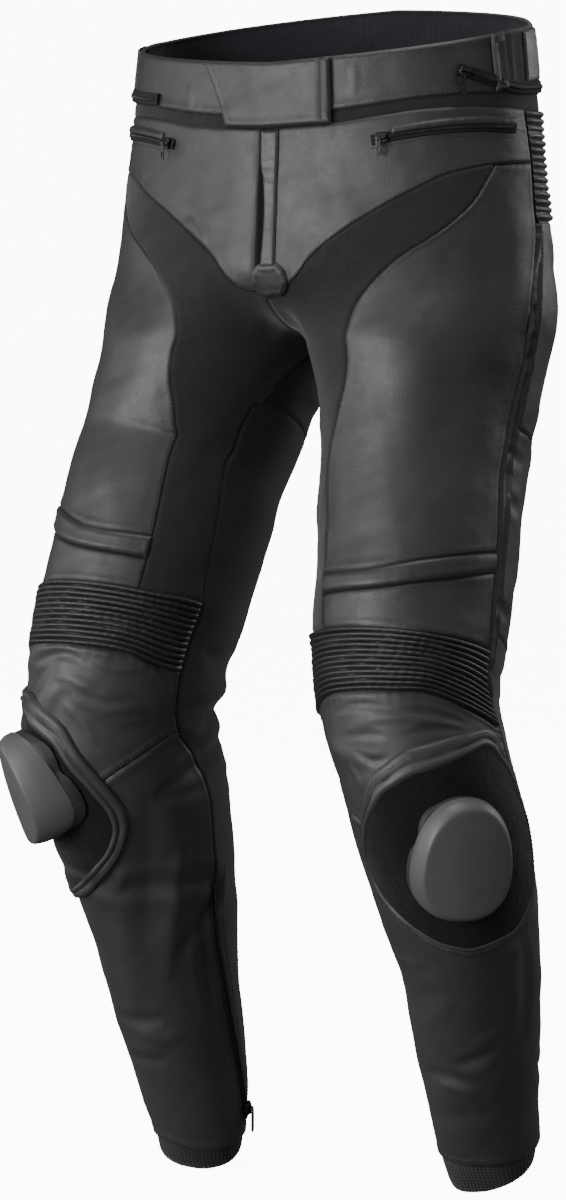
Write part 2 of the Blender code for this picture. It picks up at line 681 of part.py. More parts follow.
def make_leg_front(name, side):
    edge, strip_front, strip_back, inseam = (seam(t) for t in (THIGH_EDGE, SIDE_FRONT, SIDE_BACK, INSEAM))
    above, tuck, rib_top, rib_foot = (seam(t) for t in (ABOVE_KNEE, TUCK_FOOT, RIB_TOP, RIB_FOOT))
    wall(f"front_stretch_{name}", on_side(side, stretch_grid(4)), STRETCH, "stretch fabric")
    thigh_top = THIGH_EDGE[0][0] + 0.0005
    thigh_foot = above(edge(TUCK_FOOT[0][1]))
    levels = [x for x in stretch_edge_levels() if x < thigh_foot - 0.008]
    thigh_rows = [0.0] + [(x - thigh_top) / (above(edge(x)) - thigh_top) for x in levels] + [1.0]
    thigh = spread(edge, strip_front, level(thigh_top), above, 6, thigh_rows)
    wall(f"thigh_front_{name}", on_side(side, thigh), LEATHER, "leather")
    band = spread(edge, strip_front, above, tuck, 8, 1)
    wall(f"knee_tuck_{name}", on_side(side, band), LEATHER, "leather")
    upper = spread(edge, strip_front, tuck, rib_top, 8, 2)
    wall(f"knee_upper_{name}", on_side(side, upper), LEATHER, "leather")
    ribbed = spread(inseam, strip_front, rib_top, rib_foot, 10, 2 * KNEE_RIBS)
    wall(f"knee_ribs_{name}", on_side(side, ribbed), STRETCH, "leather", raise_by=ribs)
    panel = spread(inseam, strip_front, rib_foot, seam(KNEE_FOOT), 10, 4)
    wall(f"knee_panel_{name}", on_side(side, panel), LEATHER, "leather")
    shin = spread(inseam, strip_back, seam(KNEE_FOOT), seam(HEM), 10, 14)
    wall(f"shin_{name}", on_side(side, shin), LEATHER, "leather")
    strip = spread(strip_front, strip_back, level(0.131), level(0.545), 1, shares_of(STRIP_LEVELS))
    wall(f"side_strip_{name}", on_side(side, strip), LEATHER, "leather")


def make_slider_patch(name, side):
    """The loop-pile patch on the outside of the knee."""
    grid = []
    for down, inner, outer in PATCH_EDGE:
        down = PATCH_MIDDLE + (down - PATCH_MIDDLE) * PATCH_STRETCH[side]
        grid.append([(side, down, between(inner, outer, i / 8)) for i in range(9)])
    wall(f"slider_patch_{name}", grid, PATCH_THICK, "loop pile", lift=PATCH_LIFT)


def make_knee_slider(name, side):
    """The plastic slider that sticks to the patch: bent to the leg below, flatter on top."""
    puck_down, puck_turn = PUCK_DOWN[side], PUCK_TURN[side]
    base = PATCH_LIFT + PATCH_THICK + PUCK_LIFT
    middle, outward = place(side, puck_down, puck_turn, base)
    below, _ = place(side, puck_down + NORMAL_STEP, puck_turn)
    above, _ = place(side, puck_down - NORMAL_STEP, puck_turn)
    run = (below - above) / (2 * NORMAL_STEP)
    down_run = run.length
    along = (run - outward * run.dot(outward)).normalized()
    across = outward.cross(along) * side
    tilt = radians(PUCK_TILT[side])
    outward, across = (
        outward * cos(tilt) + across * sin(tilt), across * cos(tilt) - outward * sin(tilt)
    )
    turn_step = NORMAL_STEP * 2
    outer, _ = place(side, puck_down, puck_turn + turn_step)
    inner, _ = place(side, puck_down, puck_turn - turn_step)
    turn_run = (outer - inner).length / (2 * turn_step)

    def rim_point(share, angle, height, flat):
        wide = PUCK_HALF_WIDE * share * rounded(cos(angle), PUCK_SQUARE)
        long = PUCK_HALF_LONG * share * rounded(sin(angle), PUCK_SQUARE)
        lean = radians(PUCK_LEAN[side])
        fall = long * cos(lean) - wide * sin(lean)
        aside = wide * cos(lean) + long * sin(lean)
        skin, _ = place(side, puck_down + fall / down_run, puck_turn + aside / turn_run, base)
        level_top = middle + along * fall + across * aside
        return skin.lerp(level_top, flat) + outward * height

    mesh = bmesh.new()
    angles = [2 * pi * k / PUCK_SIDES for k in range(PUCK_SIDES)]
    rings = [
        [mesh.verts.new(rim_point(share, angle, height, flat)) for angle in angles]
        for share, height, flat in [(0.5, 0.0, 0.0)] + PUCK_PROFILE
    ]
    for low, high in zip(rings, rings[1:]):
        for k in range(PUCK_SIDES):
            n = (k + 1) % PUCK_SIDES
            mesh.faces.new((low[k], low[n], high[n], high[k]))
    foot = mesh.verts.new(middle)
    crown = mesh.verts.new(middle + outward * PUCK_TOP)
    for k in range(PUCK_SIDES):
        n = (k + 1) % PUCK_SIDES
        mesh.faces.new((rings[0][n], rings[0][k], foot))
        mesh.faces.new((rings[-1][k], rings[-1][n], crown))
    finish(f"knee_slider_{name}", mesh, "slider plastic")


# ---------------------------------------------------------------- legs, back and hem
def make_leg_back(name, side):
    strip_back, inner, seat_foot, hem = (seam(t) for t in (SIDE_BACK, BACK_INNER, SEAT_FOOT, HEM))
    thigh_foot, knee_foot, inner_foot = (
        seam(t) for t in (THIGH_BACK_FOOT, KNEE_BACK_FOOT, INNER_BACK_FOOT)
    )

    def inside_leg(down):
        return 1.0 if down < FORK else 1.0 + smooth(INSEAM, 1, down)

    outer, middle, inside = strip_back(seat_foot(0.45)), 0.80, inside_leg(INSIDE_LEG[2])
    seat_turns = [between(outer, middle, share) for share in even(7)]
    seat_turns += [between(middle, inside, share) for share in even(5)[1:]]
    seat_columns, seat_rows = shares_of(seat_turns), shares_of(SEAT_INSIDE)
    seat = spread(strip_back, inside_leg, seam(BACK_YOKE_FOOT), seat_foot, seat_columns, seat_rows)
    wall(f"seat_{name}", on_side(side, seat), LEATHER, "leather")
    thigh = spread(strip_back, inner, seat_foot, thigh_foot, 7, 7)
    wall(f"thigh_back_{name}", on_side(side, thigh), LEATHER, "leather")
    inside_rows = shares_of(INSIDE_LEG[2:] + INSIDE_KNEE)
    inside = spread(inner, inside_leg, seat_foot, inner_foot, 5, inside_rows)
    wall(f"thigh_inner_back_{name}", on_side(side, inside), STRETCH, "stretch fabric")
    knee = spread(strip_back, inner, thigh_foot, knee_foot, 7, shares_of(KNEE_BACK_LEVELS))
    wall(f"knee_back_{name}", on_side(side, knee), STRETCH, "stretch fabric")
    calf = spread(strip_back, inner, knee_foot, hem, 5, 13)
    wall(f"calf_back_{name}", on_side(side, calf), LEATHER, "leather")
    gusset = spread(inner, inside_leg, inner_foot, hem, 3, 14)
    wall(f"calf_gusset_{name}", on_side(side, gusset), STRETCH, "stretch fabric")
    cuff = spread(level(-0.10), level(0.90), shifted(hem, CUFF_GAP), seam(CUFF_FOOT), 22, 1)
    wall(f"cuff_{name}", on_side(side, cuff), CUFF_KNIT, "knitted cuff", ring=True)


for old in list(bpy.data.objects):
    bpy.data.objects.remove(old)
bpy.context.scene.collection.children.link(collection)
make_waist()
make_closure_tab()
make_front()
make_fly()
make_zips()
for leg, half in SIDES.items():
    make_leg_front(leg, half)
    make_slider_patch(leg, half)
    make_knee_slider(leg, half)
    make_leg_back(leg, half)
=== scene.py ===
import json
from math import cos, pi, radians, sin

import bpy
import numpy as np
from mathutils import Matrix, Vector


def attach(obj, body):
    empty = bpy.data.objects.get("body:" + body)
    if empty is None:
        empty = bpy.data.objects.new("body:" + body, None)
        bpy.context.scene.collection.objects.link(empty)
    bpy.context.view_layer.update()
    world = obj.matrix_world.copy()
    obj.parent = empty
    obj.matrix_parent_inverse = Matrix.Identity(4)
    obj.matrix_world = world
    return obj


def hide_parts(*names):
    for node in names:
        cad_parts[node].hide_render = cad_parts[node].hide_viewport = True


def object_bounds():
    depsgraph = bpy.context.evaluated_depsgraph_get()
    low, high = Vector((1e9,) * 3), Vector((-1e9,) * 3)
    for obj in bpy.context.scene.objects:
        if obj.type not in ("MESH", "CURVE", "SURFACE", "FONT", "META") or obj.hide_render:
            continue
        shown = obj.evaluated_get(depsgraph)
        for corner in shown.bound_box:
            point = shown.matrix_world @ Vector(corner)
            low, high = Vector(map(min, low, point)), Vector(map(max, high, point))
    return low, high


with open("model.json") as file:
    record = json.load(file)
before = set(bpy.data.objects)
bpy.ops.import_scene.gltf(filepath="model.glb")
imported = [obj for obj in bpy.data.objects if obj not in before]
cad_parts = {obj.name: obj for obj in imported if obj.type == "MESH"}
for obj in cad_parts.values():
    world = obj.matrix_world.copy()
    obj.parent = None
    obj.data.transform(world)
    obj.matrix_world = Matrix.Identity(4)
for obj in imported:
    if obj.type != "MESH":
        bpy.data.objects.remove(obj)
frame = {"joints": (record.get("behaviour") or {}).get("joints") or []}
cad_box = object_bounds()
bpy.ops.object.select_all(action="DESELECT")

# ---------------------------------------------------------------- the view
# The trousers stand upright in a pale studio, seen from the front and the wearer's left at about
# hip height, through a long lens. A pale sweep that glows evenly is the floor and the wall far
# behind them; it is left out of reflections, so the softboxes alone shape the leather.
EYE = np.array((1.5683, -2.8180, -0.1908))
EYE_TURN, EYE_DROP = radians(30), radians(4.467)
LENS, SENSOR_WIDTH, PICTURE = 115.2, 36, (566, 1200)
bpy.ops.object.camera_add(location=EYE, rotation=(pi / 2 - EYE_DROP, 0, EYE_TURN))
camera = bpy.context.object
camera.data.lens = LENS
bpy.context.scene.camera = camera

floor_level = cad_box[0][2] - 0.002
SWEEP_SIZE, WALL_HEIGHT = 30, 12
bpy.ops.mesh.primitive_plane_add(size=1, location=(0, 0, 0))
sweep = bpy.context.object
sweep.name = "studio_sweep"
bpy.ops.object.mode_set(mode="EDIT")
bpy.ops.transform.resize(value=(SWEEP_SIZE, SWEEP_SIZE, 1))
bpy.ops.mesh.select_mode(type="EDGE")
bpy.ops.mesh.select_all(action="DESELECT")
bpy.ops.object.mode_set(mode="OBJECT")
for edge in sweep.data.edges:
    edge.select = all(sweep.data.vertices[v].co.y > 0 for v in edge.vertices)
bpy.ops.object.mode_set(mode="EDIT")
bpy.ops.mesh.extrude_region_move(TRANSFORM_OT_translate={"value": (0, 0, WALL_HEIGHT)})
bpy.ops.mesh.select_all(action="SELECT")
bpy.ops.transform.rotate(value=-EYE_TURN, orient_axis="Z", center_override=(0, 0, 0))
bpy.ops.transform.translate(value=(0, 0, floor_level))
bpy.ops.object.mode_set(mode="OBJECT")
pale = bpy.data.materials.new("pale sweep")
pale.use_nodes = True
paint = pale.node_tree.nodes["Principled BSDF"].inputs
paint["Base Color"].default_value = (0.86, 0.86, 0.86, 1)
paint["Roughness"].default_value = 0.9
paint["Emission Color"].default_value = (1, 1, 1, 1)
paint["Emission Strength"].default_value = 11.0
sweep.data.materials.append(pale)
sweep.visible_diffuse = sweep.visible_glossy = False

world = bpy.data.worlds.new("studio")
world.use_nodes = True
air = world.node_tree.nodes["Background"].inputs
air["Color"].default_value = (1, 1, 1, 1)
air["Strength"].default_value = 0.13
bpy.context.scene.world = world
# name, place, size, watts: each is a softbox turned to the middle of the trousers
SOFTBOXES = [
    ("softbox_key", (-1.1, -2.95, 0.0), 1.5, 116),
    ("softbox_front", (0.9, -3.5, -0.3), 1.8, 30),
    ("softbox_side", (3.0, -0.4, 0.4), 1.4, 8),
    ("softbox_left", (-2.5, -0.9, -0.2), 1.4, 20),
    ("softbox_top", (0.2, -0.4, 2.3), 1.6, 52),
    ("softbox_back", (1.6, 2.8, 0.8), 1.6, 32),
]
for name, spot, size, watts in SOFTBOXES:
    aim = (Vector((0, 0, -0.45)) - Vector(spot)).to_track_quat("-Z", "Y").to_euler()
    bpy.ops.object.light_add(type="AREA", location=spot, rotation=aim)
    softbox = bpy.context.object
    softbox.name = name
    softbox.data.size = size
    softbox.data.energy = watts

# ---------------------------------------------------------------- the form of the garment
# The trousers keep the form of the legs that wore them: a waist and hip ring that parts at the
# fork into two legs with bent knees. Every panel lies on this form, at a place given by the side
# (+1 the wearer's left, -1 the right), the metres down from the band's top edge, and the turn
# round (0 centre front and inside leg, 0.25 front, 0.5 outer side, 0.75 back, 1 centre back).
HIP_FOOT, FORK = 0.160, 0.222
BACK_RISE, RISE_FADE = 0.056, 0.150
HIP_SQUARE, FRONT_GATHER, LEG_LEAN_RUN, LEG_LEAN_REACH = 2.25, 0.0835, 0.12, 0.020
DOWN_STEP, TURN_STEP, FALL_STEP = 0.002, 0.004, 0.006  # between neighbours that give a direction
# columns: down, half width, front y, back y
HIPS = [
    (0.000, 0.171, -0.129, 0.096), (0.030, 0.174, -0.130, 0.097), (0.095, 0.183, -0.134, 0.098),
    (0.155, 0.192, -0.138, 0.097), (0.200, 0.196, -0.143, 0.088), (0.235, 0.198, -0.146, 0.080),
]
# columns: down, middle x, y, z, half width, half depth, degrees turned out
LEGS = {
    1: [
        (0.222, 0.0985, -0.030, -0.2220, 0.0985, 0.1120, 0),
        (0.270, 0.1030, -0.040, -0.2700, 0.0885, 0.1060, 6),
        (0.325, 0.1060, -0.056, -0.3250, 0.0835, 0.1000, 10),
        (0.400, 0.1150, -0.085, -0.4045, 0.0800, 0.0975, 15),
        (0.463, 0.1205, -0.105, -0.4619, 0.0770, 0.0950, 15),
        (0.512, 0.1271, -0.120, -0.5087, 0.0710, 0.0925, 15),
        (0.570, 0.1399, -0.120, -0.5579, 0.0675, 0.0905, 15),
        (0.642, 0.1520, -0.100, -0.6322, 0.0668, 0.0855, 15),
        (0.738, 0.1550, -0.065, -0.7227, 0.0575, 0.0725, 15),
        (0.827, 0.1462, -0.035, -0.7984, 0.0512, 0.0572, 15),
        (0.893, 0.1402, -0.010, -0.8536, 0.0455, 0.0505, 15),
        (0.953, 0.1360, 0.010, -0.9018, 0.0420, 0.0390, 15),
        (0.970, 0.1362, 0.015, -0.9160, 0.0405, 0.0365, 15),
        (0.990, 0.1364, 0.021, -0.9340, 0.0395, 0.0350, 15),
    ],
    -1: [
        (0.222, 0.0985, -0.030, -0.2220, 0.0985, 0.1120, 0),
        (0.270, 0.1090, -0.042, -0.2695, 0.0880, 0.1050, 6),
        (0.325, 0.1200, -0.058, -0.3214, 0.0815, 0.0980, 10),
        (0.400, 0.1230, -0.085, -0.3749, 0.0790, 0.0955, 15),
        (0.463, 0.1300, -0.105, -0.4369, 0.0765, 0.0940, 15),
        (0.512, 0.1358, -0.120, -0.4821, 0.0705, 0.0915, 15),
        (0.570, 0.1440, -0.120, -0.5455, 0.0670, 0.0885, 15),
        (0.642, 0.1376, -0.100, -0.6109, 0.0626, 0.0825, 15),
        (0.738, 0.1400, -0.065, -0.7007, 0.0560, 0.0705, 15),
        (0.827, 0.1432, -0.035, -0.7918, 0.0507, 0.0565, 15),
        (0.893, 0.1432, -0.010, -0.8571, 0.0450, 0.0495, 15),
        (0.953, 0.1455, 0.010, -0.9228, 0.0405, 0.0380, 15),
        (0.970, 0.1460, 0.014, -0.9360, 0.0395, 0.0360, 15),
    ],
}


def read(rows, column, x):
    """A table's column at x, on a smooth curve through its rows."""
    rows, x = np.asarray(rows, float), np.asarray(x, float)
    at, value = rows[:, 0], rows[:, column]
    run = np.diff(at)
    slope = np.diff(value) / run
    share = run[1:] / (at[2:] - at[:-2])
    lean = np.concatenate([slope[:1], slope[:-1] * share + slope[1:] * (1 - share), slope[-1:]])
    i = np.clip(np.searchsorted(at, x, side="right") - 1, 0, len(run) - 1)
    s = np.clip((x - at[i]) / run[i], 0, 1)
    start = (1 + 2 * s) * (1 - s) ** 2 * value[i] + s * (1 - s) ** 2 * run[i] * lean[i]
    return start + s * s * (3 - 2 * s) * value[i + 1] + s * s * (s - 1) * run[i] * lean[i + 1]


def ease(s):
    s = np.clip(s, 0, 1)
    return s * s * (3 - 2 * s)


def hump(x, middle, width):
    """1 at the middle, falling softly to nothing on both sides."""
    return np.exp(-(((x - middle) / width) ** 2))


def unit(v):
    return v / np.maximum(np.linalg.norm(v, axis=-1, keepdims=True), 1e-12)


def squared(value, square):
    return np.sign(value) * np.abs(value) ** (2 / square)


def hip_ring(side, down, turn):
    half, front, back = (read(HIPS, k, down) for k in (1, 2, 3))
    angle = pi * (turn - FRONT_GATHER * np.sin(2 * pi * turn))
    x = side * half * squared(np.sin(angle), HIP_SQUARE)
    y = (front + back) / 2 - (back - front) / 2 * squared(np.cos(angle), HIP_SQUARE)
    rise = BACK_RISE * (0.5 * angle / pi + 0.25 * (1 - np.cos(angle)))
    return np.stack([x, y, rise * (1 - ease(down / RISE_FADE)) - down], -1)


def leg_ring(side, down, turn):
    table = LEGS[side]

    def middle(at):
        return np.stack([side * read(table, 1, at), read(table, 2, at), read(table, 3, at)], -1)

    low = np.maximum(down - LEG_LEAN_REACH, table[0][0])
    high = np.minimum(down + LEG_LEAN_REACH, table[-1][0])
    lean = ease((down - FORK) / LEG_LEAN_RUN)[..., None]
    along = unit(unit(middle(high) - middle(low)) * lean + np.array((0.0, 0.0, -1.0)) * (1 - lean))
    turned = np.radians(read(table, 6, down))
    ahead = np.stack([side * np.sin(turned), -np.cos(turned), 0 * turned], -1)
    ahead = unit(ahead - along * (ahead * along).sum(-1, keepdims=True))
    outward = np.cross(along, ahead) * -side
    half_width, half_depth = read(table, 4, down)[..., None], read(table, 5, down)[..., None]
    angle = 2 * pi * turn[..., None]
    return middle(down) - outward * half_width * np.cos(angle) + ahead * half_depth * np.sin(angle)


def form(side, down, turn):
    """Points on the garment's plain form."""
    side, down, turn = (a.astype(float) for a in np.broadcast_arrays(side, down, turn))
    points = np.empty(side.shape + (3,))
    for half in (1, -1):
        here = side == half
        d, t = down[here], turn[here]
        leg = leg_ring(half, np.maximum(d, FORK), t)
        hip = hip_ring(half, np.minimum(d, FORK), t)
        share = np.clip((d - HIP_FOOT) / (FORK - HIP_FOOT), 0, 1)
        edge = (2 * t - 1) ** 2
        at_fork, below = (leg_ring(half, np.full(d.shape, FORK + step), t) for step in (0, FALL_STEP))
        fall = (below - at_fork) / FALL_STEP
        leg = leg + fall * ((1 - edge) * np.minimum(d - FORK, 0))[..., None]
        blend = edge * (1 - np.cos(share * pi / 2)) + (1 - edge) * ease(share)
        drop = edge * np.sin(share * pi / 2) + (1 - edge) * share
        mixed = hip + (leg - hip) * blend[..., None]
        mixed[..., 2] = -(HIP_FOOT + (FORK - HIP_FOOT) * drop)
        level = d[..., None]
        points[here] = np.where(level >= FORK, leg, np.where(level <= HIP_FOOT, hip, mixed))
    return points


def out_of(side, down, turn):
    """The direction out of the garment."""
    side, down, turn = (a.astype(float) for a in np.broadcast_arrays(side, down, turn))
    floor = np.where(down < FORK, 0.0, turn - 1)
    roof = np.where(down < FORK, 1.0, turn + 1)
    across = form(side, down, np.minimum(roof, turn + TURN_STEP))
    across = across - form(side, down, np.maximum(floor, turn - TURN_STEP))
    fall = form(side, down + DOWN_STEP, turn) - form(side, np.maximum(0.0, down - DOWN_STEP), turn)
    outward = np.cross(fall, across) * side[..., None]
    middle = (down < FORK) & ((turn < 1e-6) | (turn > 1 - 1e-6))
    outward[..., 0] = np.where(middle, 0.0, outward[..., 0])
    return unit(outward)


# The folds that the leather has taken, over the knees, behind them, on the seat and down the
# shins. Each is a soft ridge (+) or a pinched crease (-) through two to five places.
folds = []


def fold(side, places, width, height):
    """A fold through places (down, turn) of one side; width and height in metres."""
    table = [(k, *spot) for k, spot in enumerate(places)]
    if len(table) == 2:
        (_, d0, t0), (_, d1, t1) = table
        table = [table[0], (0.5, (d0 + d1) / 2, (t0 + t1) / 2), (1, d1, t1)]
    at = np.linspace(0, table[-1][0], 5 * len(table))
    line = form(side, read(table, 1, at), read(table, 2, at))
    folds.append((side, line, width, height))


seen_form = {}


def seen(side, x, y):
    """The place (down, turn) on one side of the form that shows at a point of the picture."""
    if side not in seen_form:
        down, turn = np.meshgrid(np.arange(0.002, 0.968, 0.002), np.arange(0, 1, 0.003), indexing="ij")
        points, outward = form(side, down, turn), out_of(side, down, turn)
        sight = points - EYE
        c, s = cos(EYE_DROP), sin(EYE_DROP)
        ahead = np.array((-sin(EYE_TURN) * c, cos(EYE_TURN) * c, -s))
        right = np.array((cos(EYE_TURN), sin(EYE_TURN), 0.0))
        above = np.cross(right, ahead)
        scale = LENS / SENSOR_WIDTH * PICTURE[1]
        far = sight @ ahead
        across = PICTURE[0] / 2 + scale * (sight @ right) / far
        fall = PICTURE[1] / 2 - scale * (sight @ above) / far
        facing = (sight * outward).sum(-1) < 0
        seen_form[side] = down[facing], turn[facing], across[facing], fall[facing]
    down, turn, across, fall = seen_form[side]
    i = ((across - x) ** 2 + (fall - y) ** 2).argmin()
    return down[i], turn[i]


def fold_seen(side, spots, width, height):
    """A fold through points of the picture."""
    fold(side, [seen(side, x, y) for x, y in spots], width, height)


for side in (1, -1):
    fold(side, [(0.553, 0.73), (0.557, 0.86), (0.553, 0.99)], 0.010, -0.0044)
    fold(side, [(0.534, 0.72), (0.536, 0.84), (0.538, 0.97)], 0.010, 0.0036)
    fold(side, [(0.576, 0.77), (0.582, 0.88), (0.574, 0.98)], 0.009, 0.0030)
    fold(side, [(0.300, 0.53), (0.296, 0.62), (0.312, 0.74)], 0.012, -0.0030)
fold(-1, [(0.506, 0.24), (0.522, 0.30), (0.538, 0.37)], 0.009, 0.0032)
fold(-1, [(0.520, 0.22), (0.540, 0.29), (0.562, 0.36)], 0.008, -0.0034)
fold(-1, [(0.530, 0.20), (0.556, 0.26), (0.586, 0.31)], 0.008, 0.0024)
fold(-1, [(0.546, 0.06), (0.540, 0.13), (0.530, 0.20)], 0.010, 0.0024)
fold(1, [(0.534, 0.08), (0.545, 0.14), (0.554, 0.20)], 0.010, 0.0022)

# The slight unevenness all over the cloth: two directions, wave length, size and start of each.
swings = np.random.default_rng(11)
UNEVEN = [
    (unit(swings.normal(size=3)), unit(swings.normal(size=3)), length, size, swings.uniform(0, 6))
    for length, size in [(0.110, 0.00045), (0.074, 0.00035), (0.052, 0.00022), (0.036, 0.00014),
                         (0.025, 0.00009), (0.017, 0.00006)]
]


def relief(side, points):
    """How far the cloth stands off the plain form at each point."""
    flat = points.reshape(-1, 3)
    sides = np.broadcast_to(side, points.shape[:-1]).ravel()
    height = np.zeros(len(flat))
    for first, other, length, size, start in UNEVEN:
        bend = 1.2 * np.sin(2 * pi * (flat @ other) / (1.7 * length) + start)
        height += size * np.sin(2 * pi * (flat @ first) / length + bend + start)
    for half, line, width, top in folds:
        reach = 3.4 * width
        near = (sides == half) & np.all(flat > line.min(0) - reach, 1)
        near &= np.all(flat < line.max(0) + reach, 1)
        if not near.any():
            continue
        p, start, run = flat[near], line[:-1], np.diff(line, axis=0)
        share = np.clip(np.einsum("nmk,mk->nm", p[:, None] - start, run) / (run**2).sum(1), 0, 1)
        away = np.linalg.norm(p[:, None] - start - share[..., None] * run, axis=2)
        best = away.argmin(1)
        rows = np.arange(len(p))
        along = (best + share[rows, best]) / len(run)
        fade = np.clip(4 * along * (1 - along), 0, 1) ** 0.8
        u = away[rows, best] / (width * (0.55 + 0.45 * fade))
        crease = np.exp(-(u**1.5)) - 0.35 * hump(u, 1.9, 0.8)
        height[near] += top * fade * (np.exp(-(u**2)) if top > 0 else crease)
    return height.reshape(points.shape[:-1])


# How a panel is laid: a grid between its four seams, with close rows beside the seams, where the
# edge is turned in and puckers a little under the stitches, and its wall on the inner side.
def seam(rows):
    return lambda x: read(rows, 1, x)


def level(value):
    return lambda x: np.full(np.shape(x), float(value))


def round_of(way):
    """Side and turn of a way round: below 0 is the right half's front, above 1 its back."""
    side = np.where((way < 0) | (way > 1), -1.0, 1.0)
    return side, np.where(way < 0, -way, np.where(way > 1, 2 - way, way))


def laid(side, down, way):
    """Side, down and turn, where side 0 takes the way round through the centre front or back."""
    if side:
        return np.full(np.shape(way), float(side)), down, way
    sides, turn = round_of(way)
    return sides, down, turn


def spread(left, right, top, foot, across, fall):
    """Places between four seams: left and right give the way round for down, the others down."""
    down = top(np.full(np.shape(across), 0.3))
    down = down + (foot(np.full(np.shape(across), 0.3)) - down) * fall
    way = left(down) + (right(down) - left(down)) * across
    for _ in range(16):
        down = top(way) + (foot(way) - top(way)) * fall
        way = left(down) + (right(down) - left(down)) * across
    return down, way


BESIDE_SEAM = np.array((0.0, 0.0006, 0.0014, 0.0024, 0.0038, 0.0056))
PAST_SEAM, NARROWEST_CUT = 0.0001, 0.012


def steps_over(lengths, fine):
    """Shares across each length, close beside both seams and fine apart between."""
    count = max(2, int(round((lengths.max() - 2 * BESIDE_SEAM[-1]) / fine)))
    shares = []
    for length in lengths:
        beside = BESIDE_SEAM * min(1.0, length / 0.030) / max(length, 1e-6)
        between = np.linspace(beside[-1], 1 - beside[-1], count + 1)[1:-1]
        shares.append(np.concatenate([beside, between, 1 - beside[::-1]]))
    return np.array(shares)


def lengths_of(points, axis):
    return np.linalg.norm(np.diff(points, axis=axis), axis=2)


def only(piece):
    bpy.ops.object.select_all(action="DESELECT")
    piece.select_set(True)
    bpy.context.view_layer.objects.active = piece


def apply(piece, kind, **settings):
    """Adds a modifier, sets it and applies it."""
    only(piece)
    bpy.ops.object.modifier_add(type=kind)
    modifier = piece.modifiers[-1]
    for name, value in settings.items():
        setattr(modifier, name, value)
    bpy.ops.object.modifier_apply(modifier=modifier.name)


def running(points, axis):
    """Metres from the first point of each line to every point of it."""
    steps = lengths_of(points, axis)
    zero = np.zeros_like(steps.take([0], axis=axis))
    return np.concatenate([zero, np.cumsum(steps, axis=axis)], axis=axis)


def on_all(act, **settings):
    """One operation on the whole mesh of the active piece."""
    bpy.ops.object.mode_set(mode="EDIT")
    bpy.ops.mesh.select_all(action="SELECT")
    act(**settings)
    bpy.ops.object.mode_set(mode="OBJECT")


def sewn_shut(piece):
    """Joins the first and the last points of a piece that runs all round."""
    only(piece)
    on_all(bpy.ops.mesh.remove_doubles, threshold=0.00001)


def carried(piece, node=None, body="trousers"):
    """The piece rides on a body and replaces its node, if it has one."""
    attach(piece, body)
    if node:
        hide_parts(node)


def cloth(name, points, thick, finishes, near_seam, turned):
    """A mesh of a grid of points with its wall inwards, a UV map in metres, and how near each
    point is to a seam kept as an attribute. turned: the grid runs the other way round."""
    rows, columns = points.shape[:2]
    bpy.ops.object.select_all(action="DESELECT")
    bpy.ops.mesh.primitive_grid_add(x_subdivisions=columns - 1, y_subdivisions=rows - 1, size=1)
    piece = bpy.context.object
    piece.name = piece.data.name = name
    piece.data.vertices.foreach_set("co", points.astype(np.float32).ravel())
    across, fall = running(points, 1), running(points, 0)
    spots = np.stack([across - across.mean(1, keepdims=True), -fall], -1).reshape(-1, 2)
    corner = np.empty(len(piece.data.loops), int)
    piece.data.loops.foreach_get("vertex_index", corner)
    piece.data.uv_layers.active.data.foreach_set("uv", spots[corner].astype(np.float32).ravel())
    nearness = piece.data.attributes.new("seam", "FLOAT", "POINT")
    nearness.data.foreach_set("value", near_seam.astype(np.float32).ravel())
    piece.data.update()
    if turned:
        on_all(bpy.ops.mesh.flip_normals)
    for finish in finishes:
        piece.data.materials.append(finish)
    apply(piece, "SOLIDIFY", thickness=thick, offset=-1, material_offset=len(finishes) - 1)
    bpy.ops.object.shade_smooth_by_angle(angle=radians(48))
    return piece


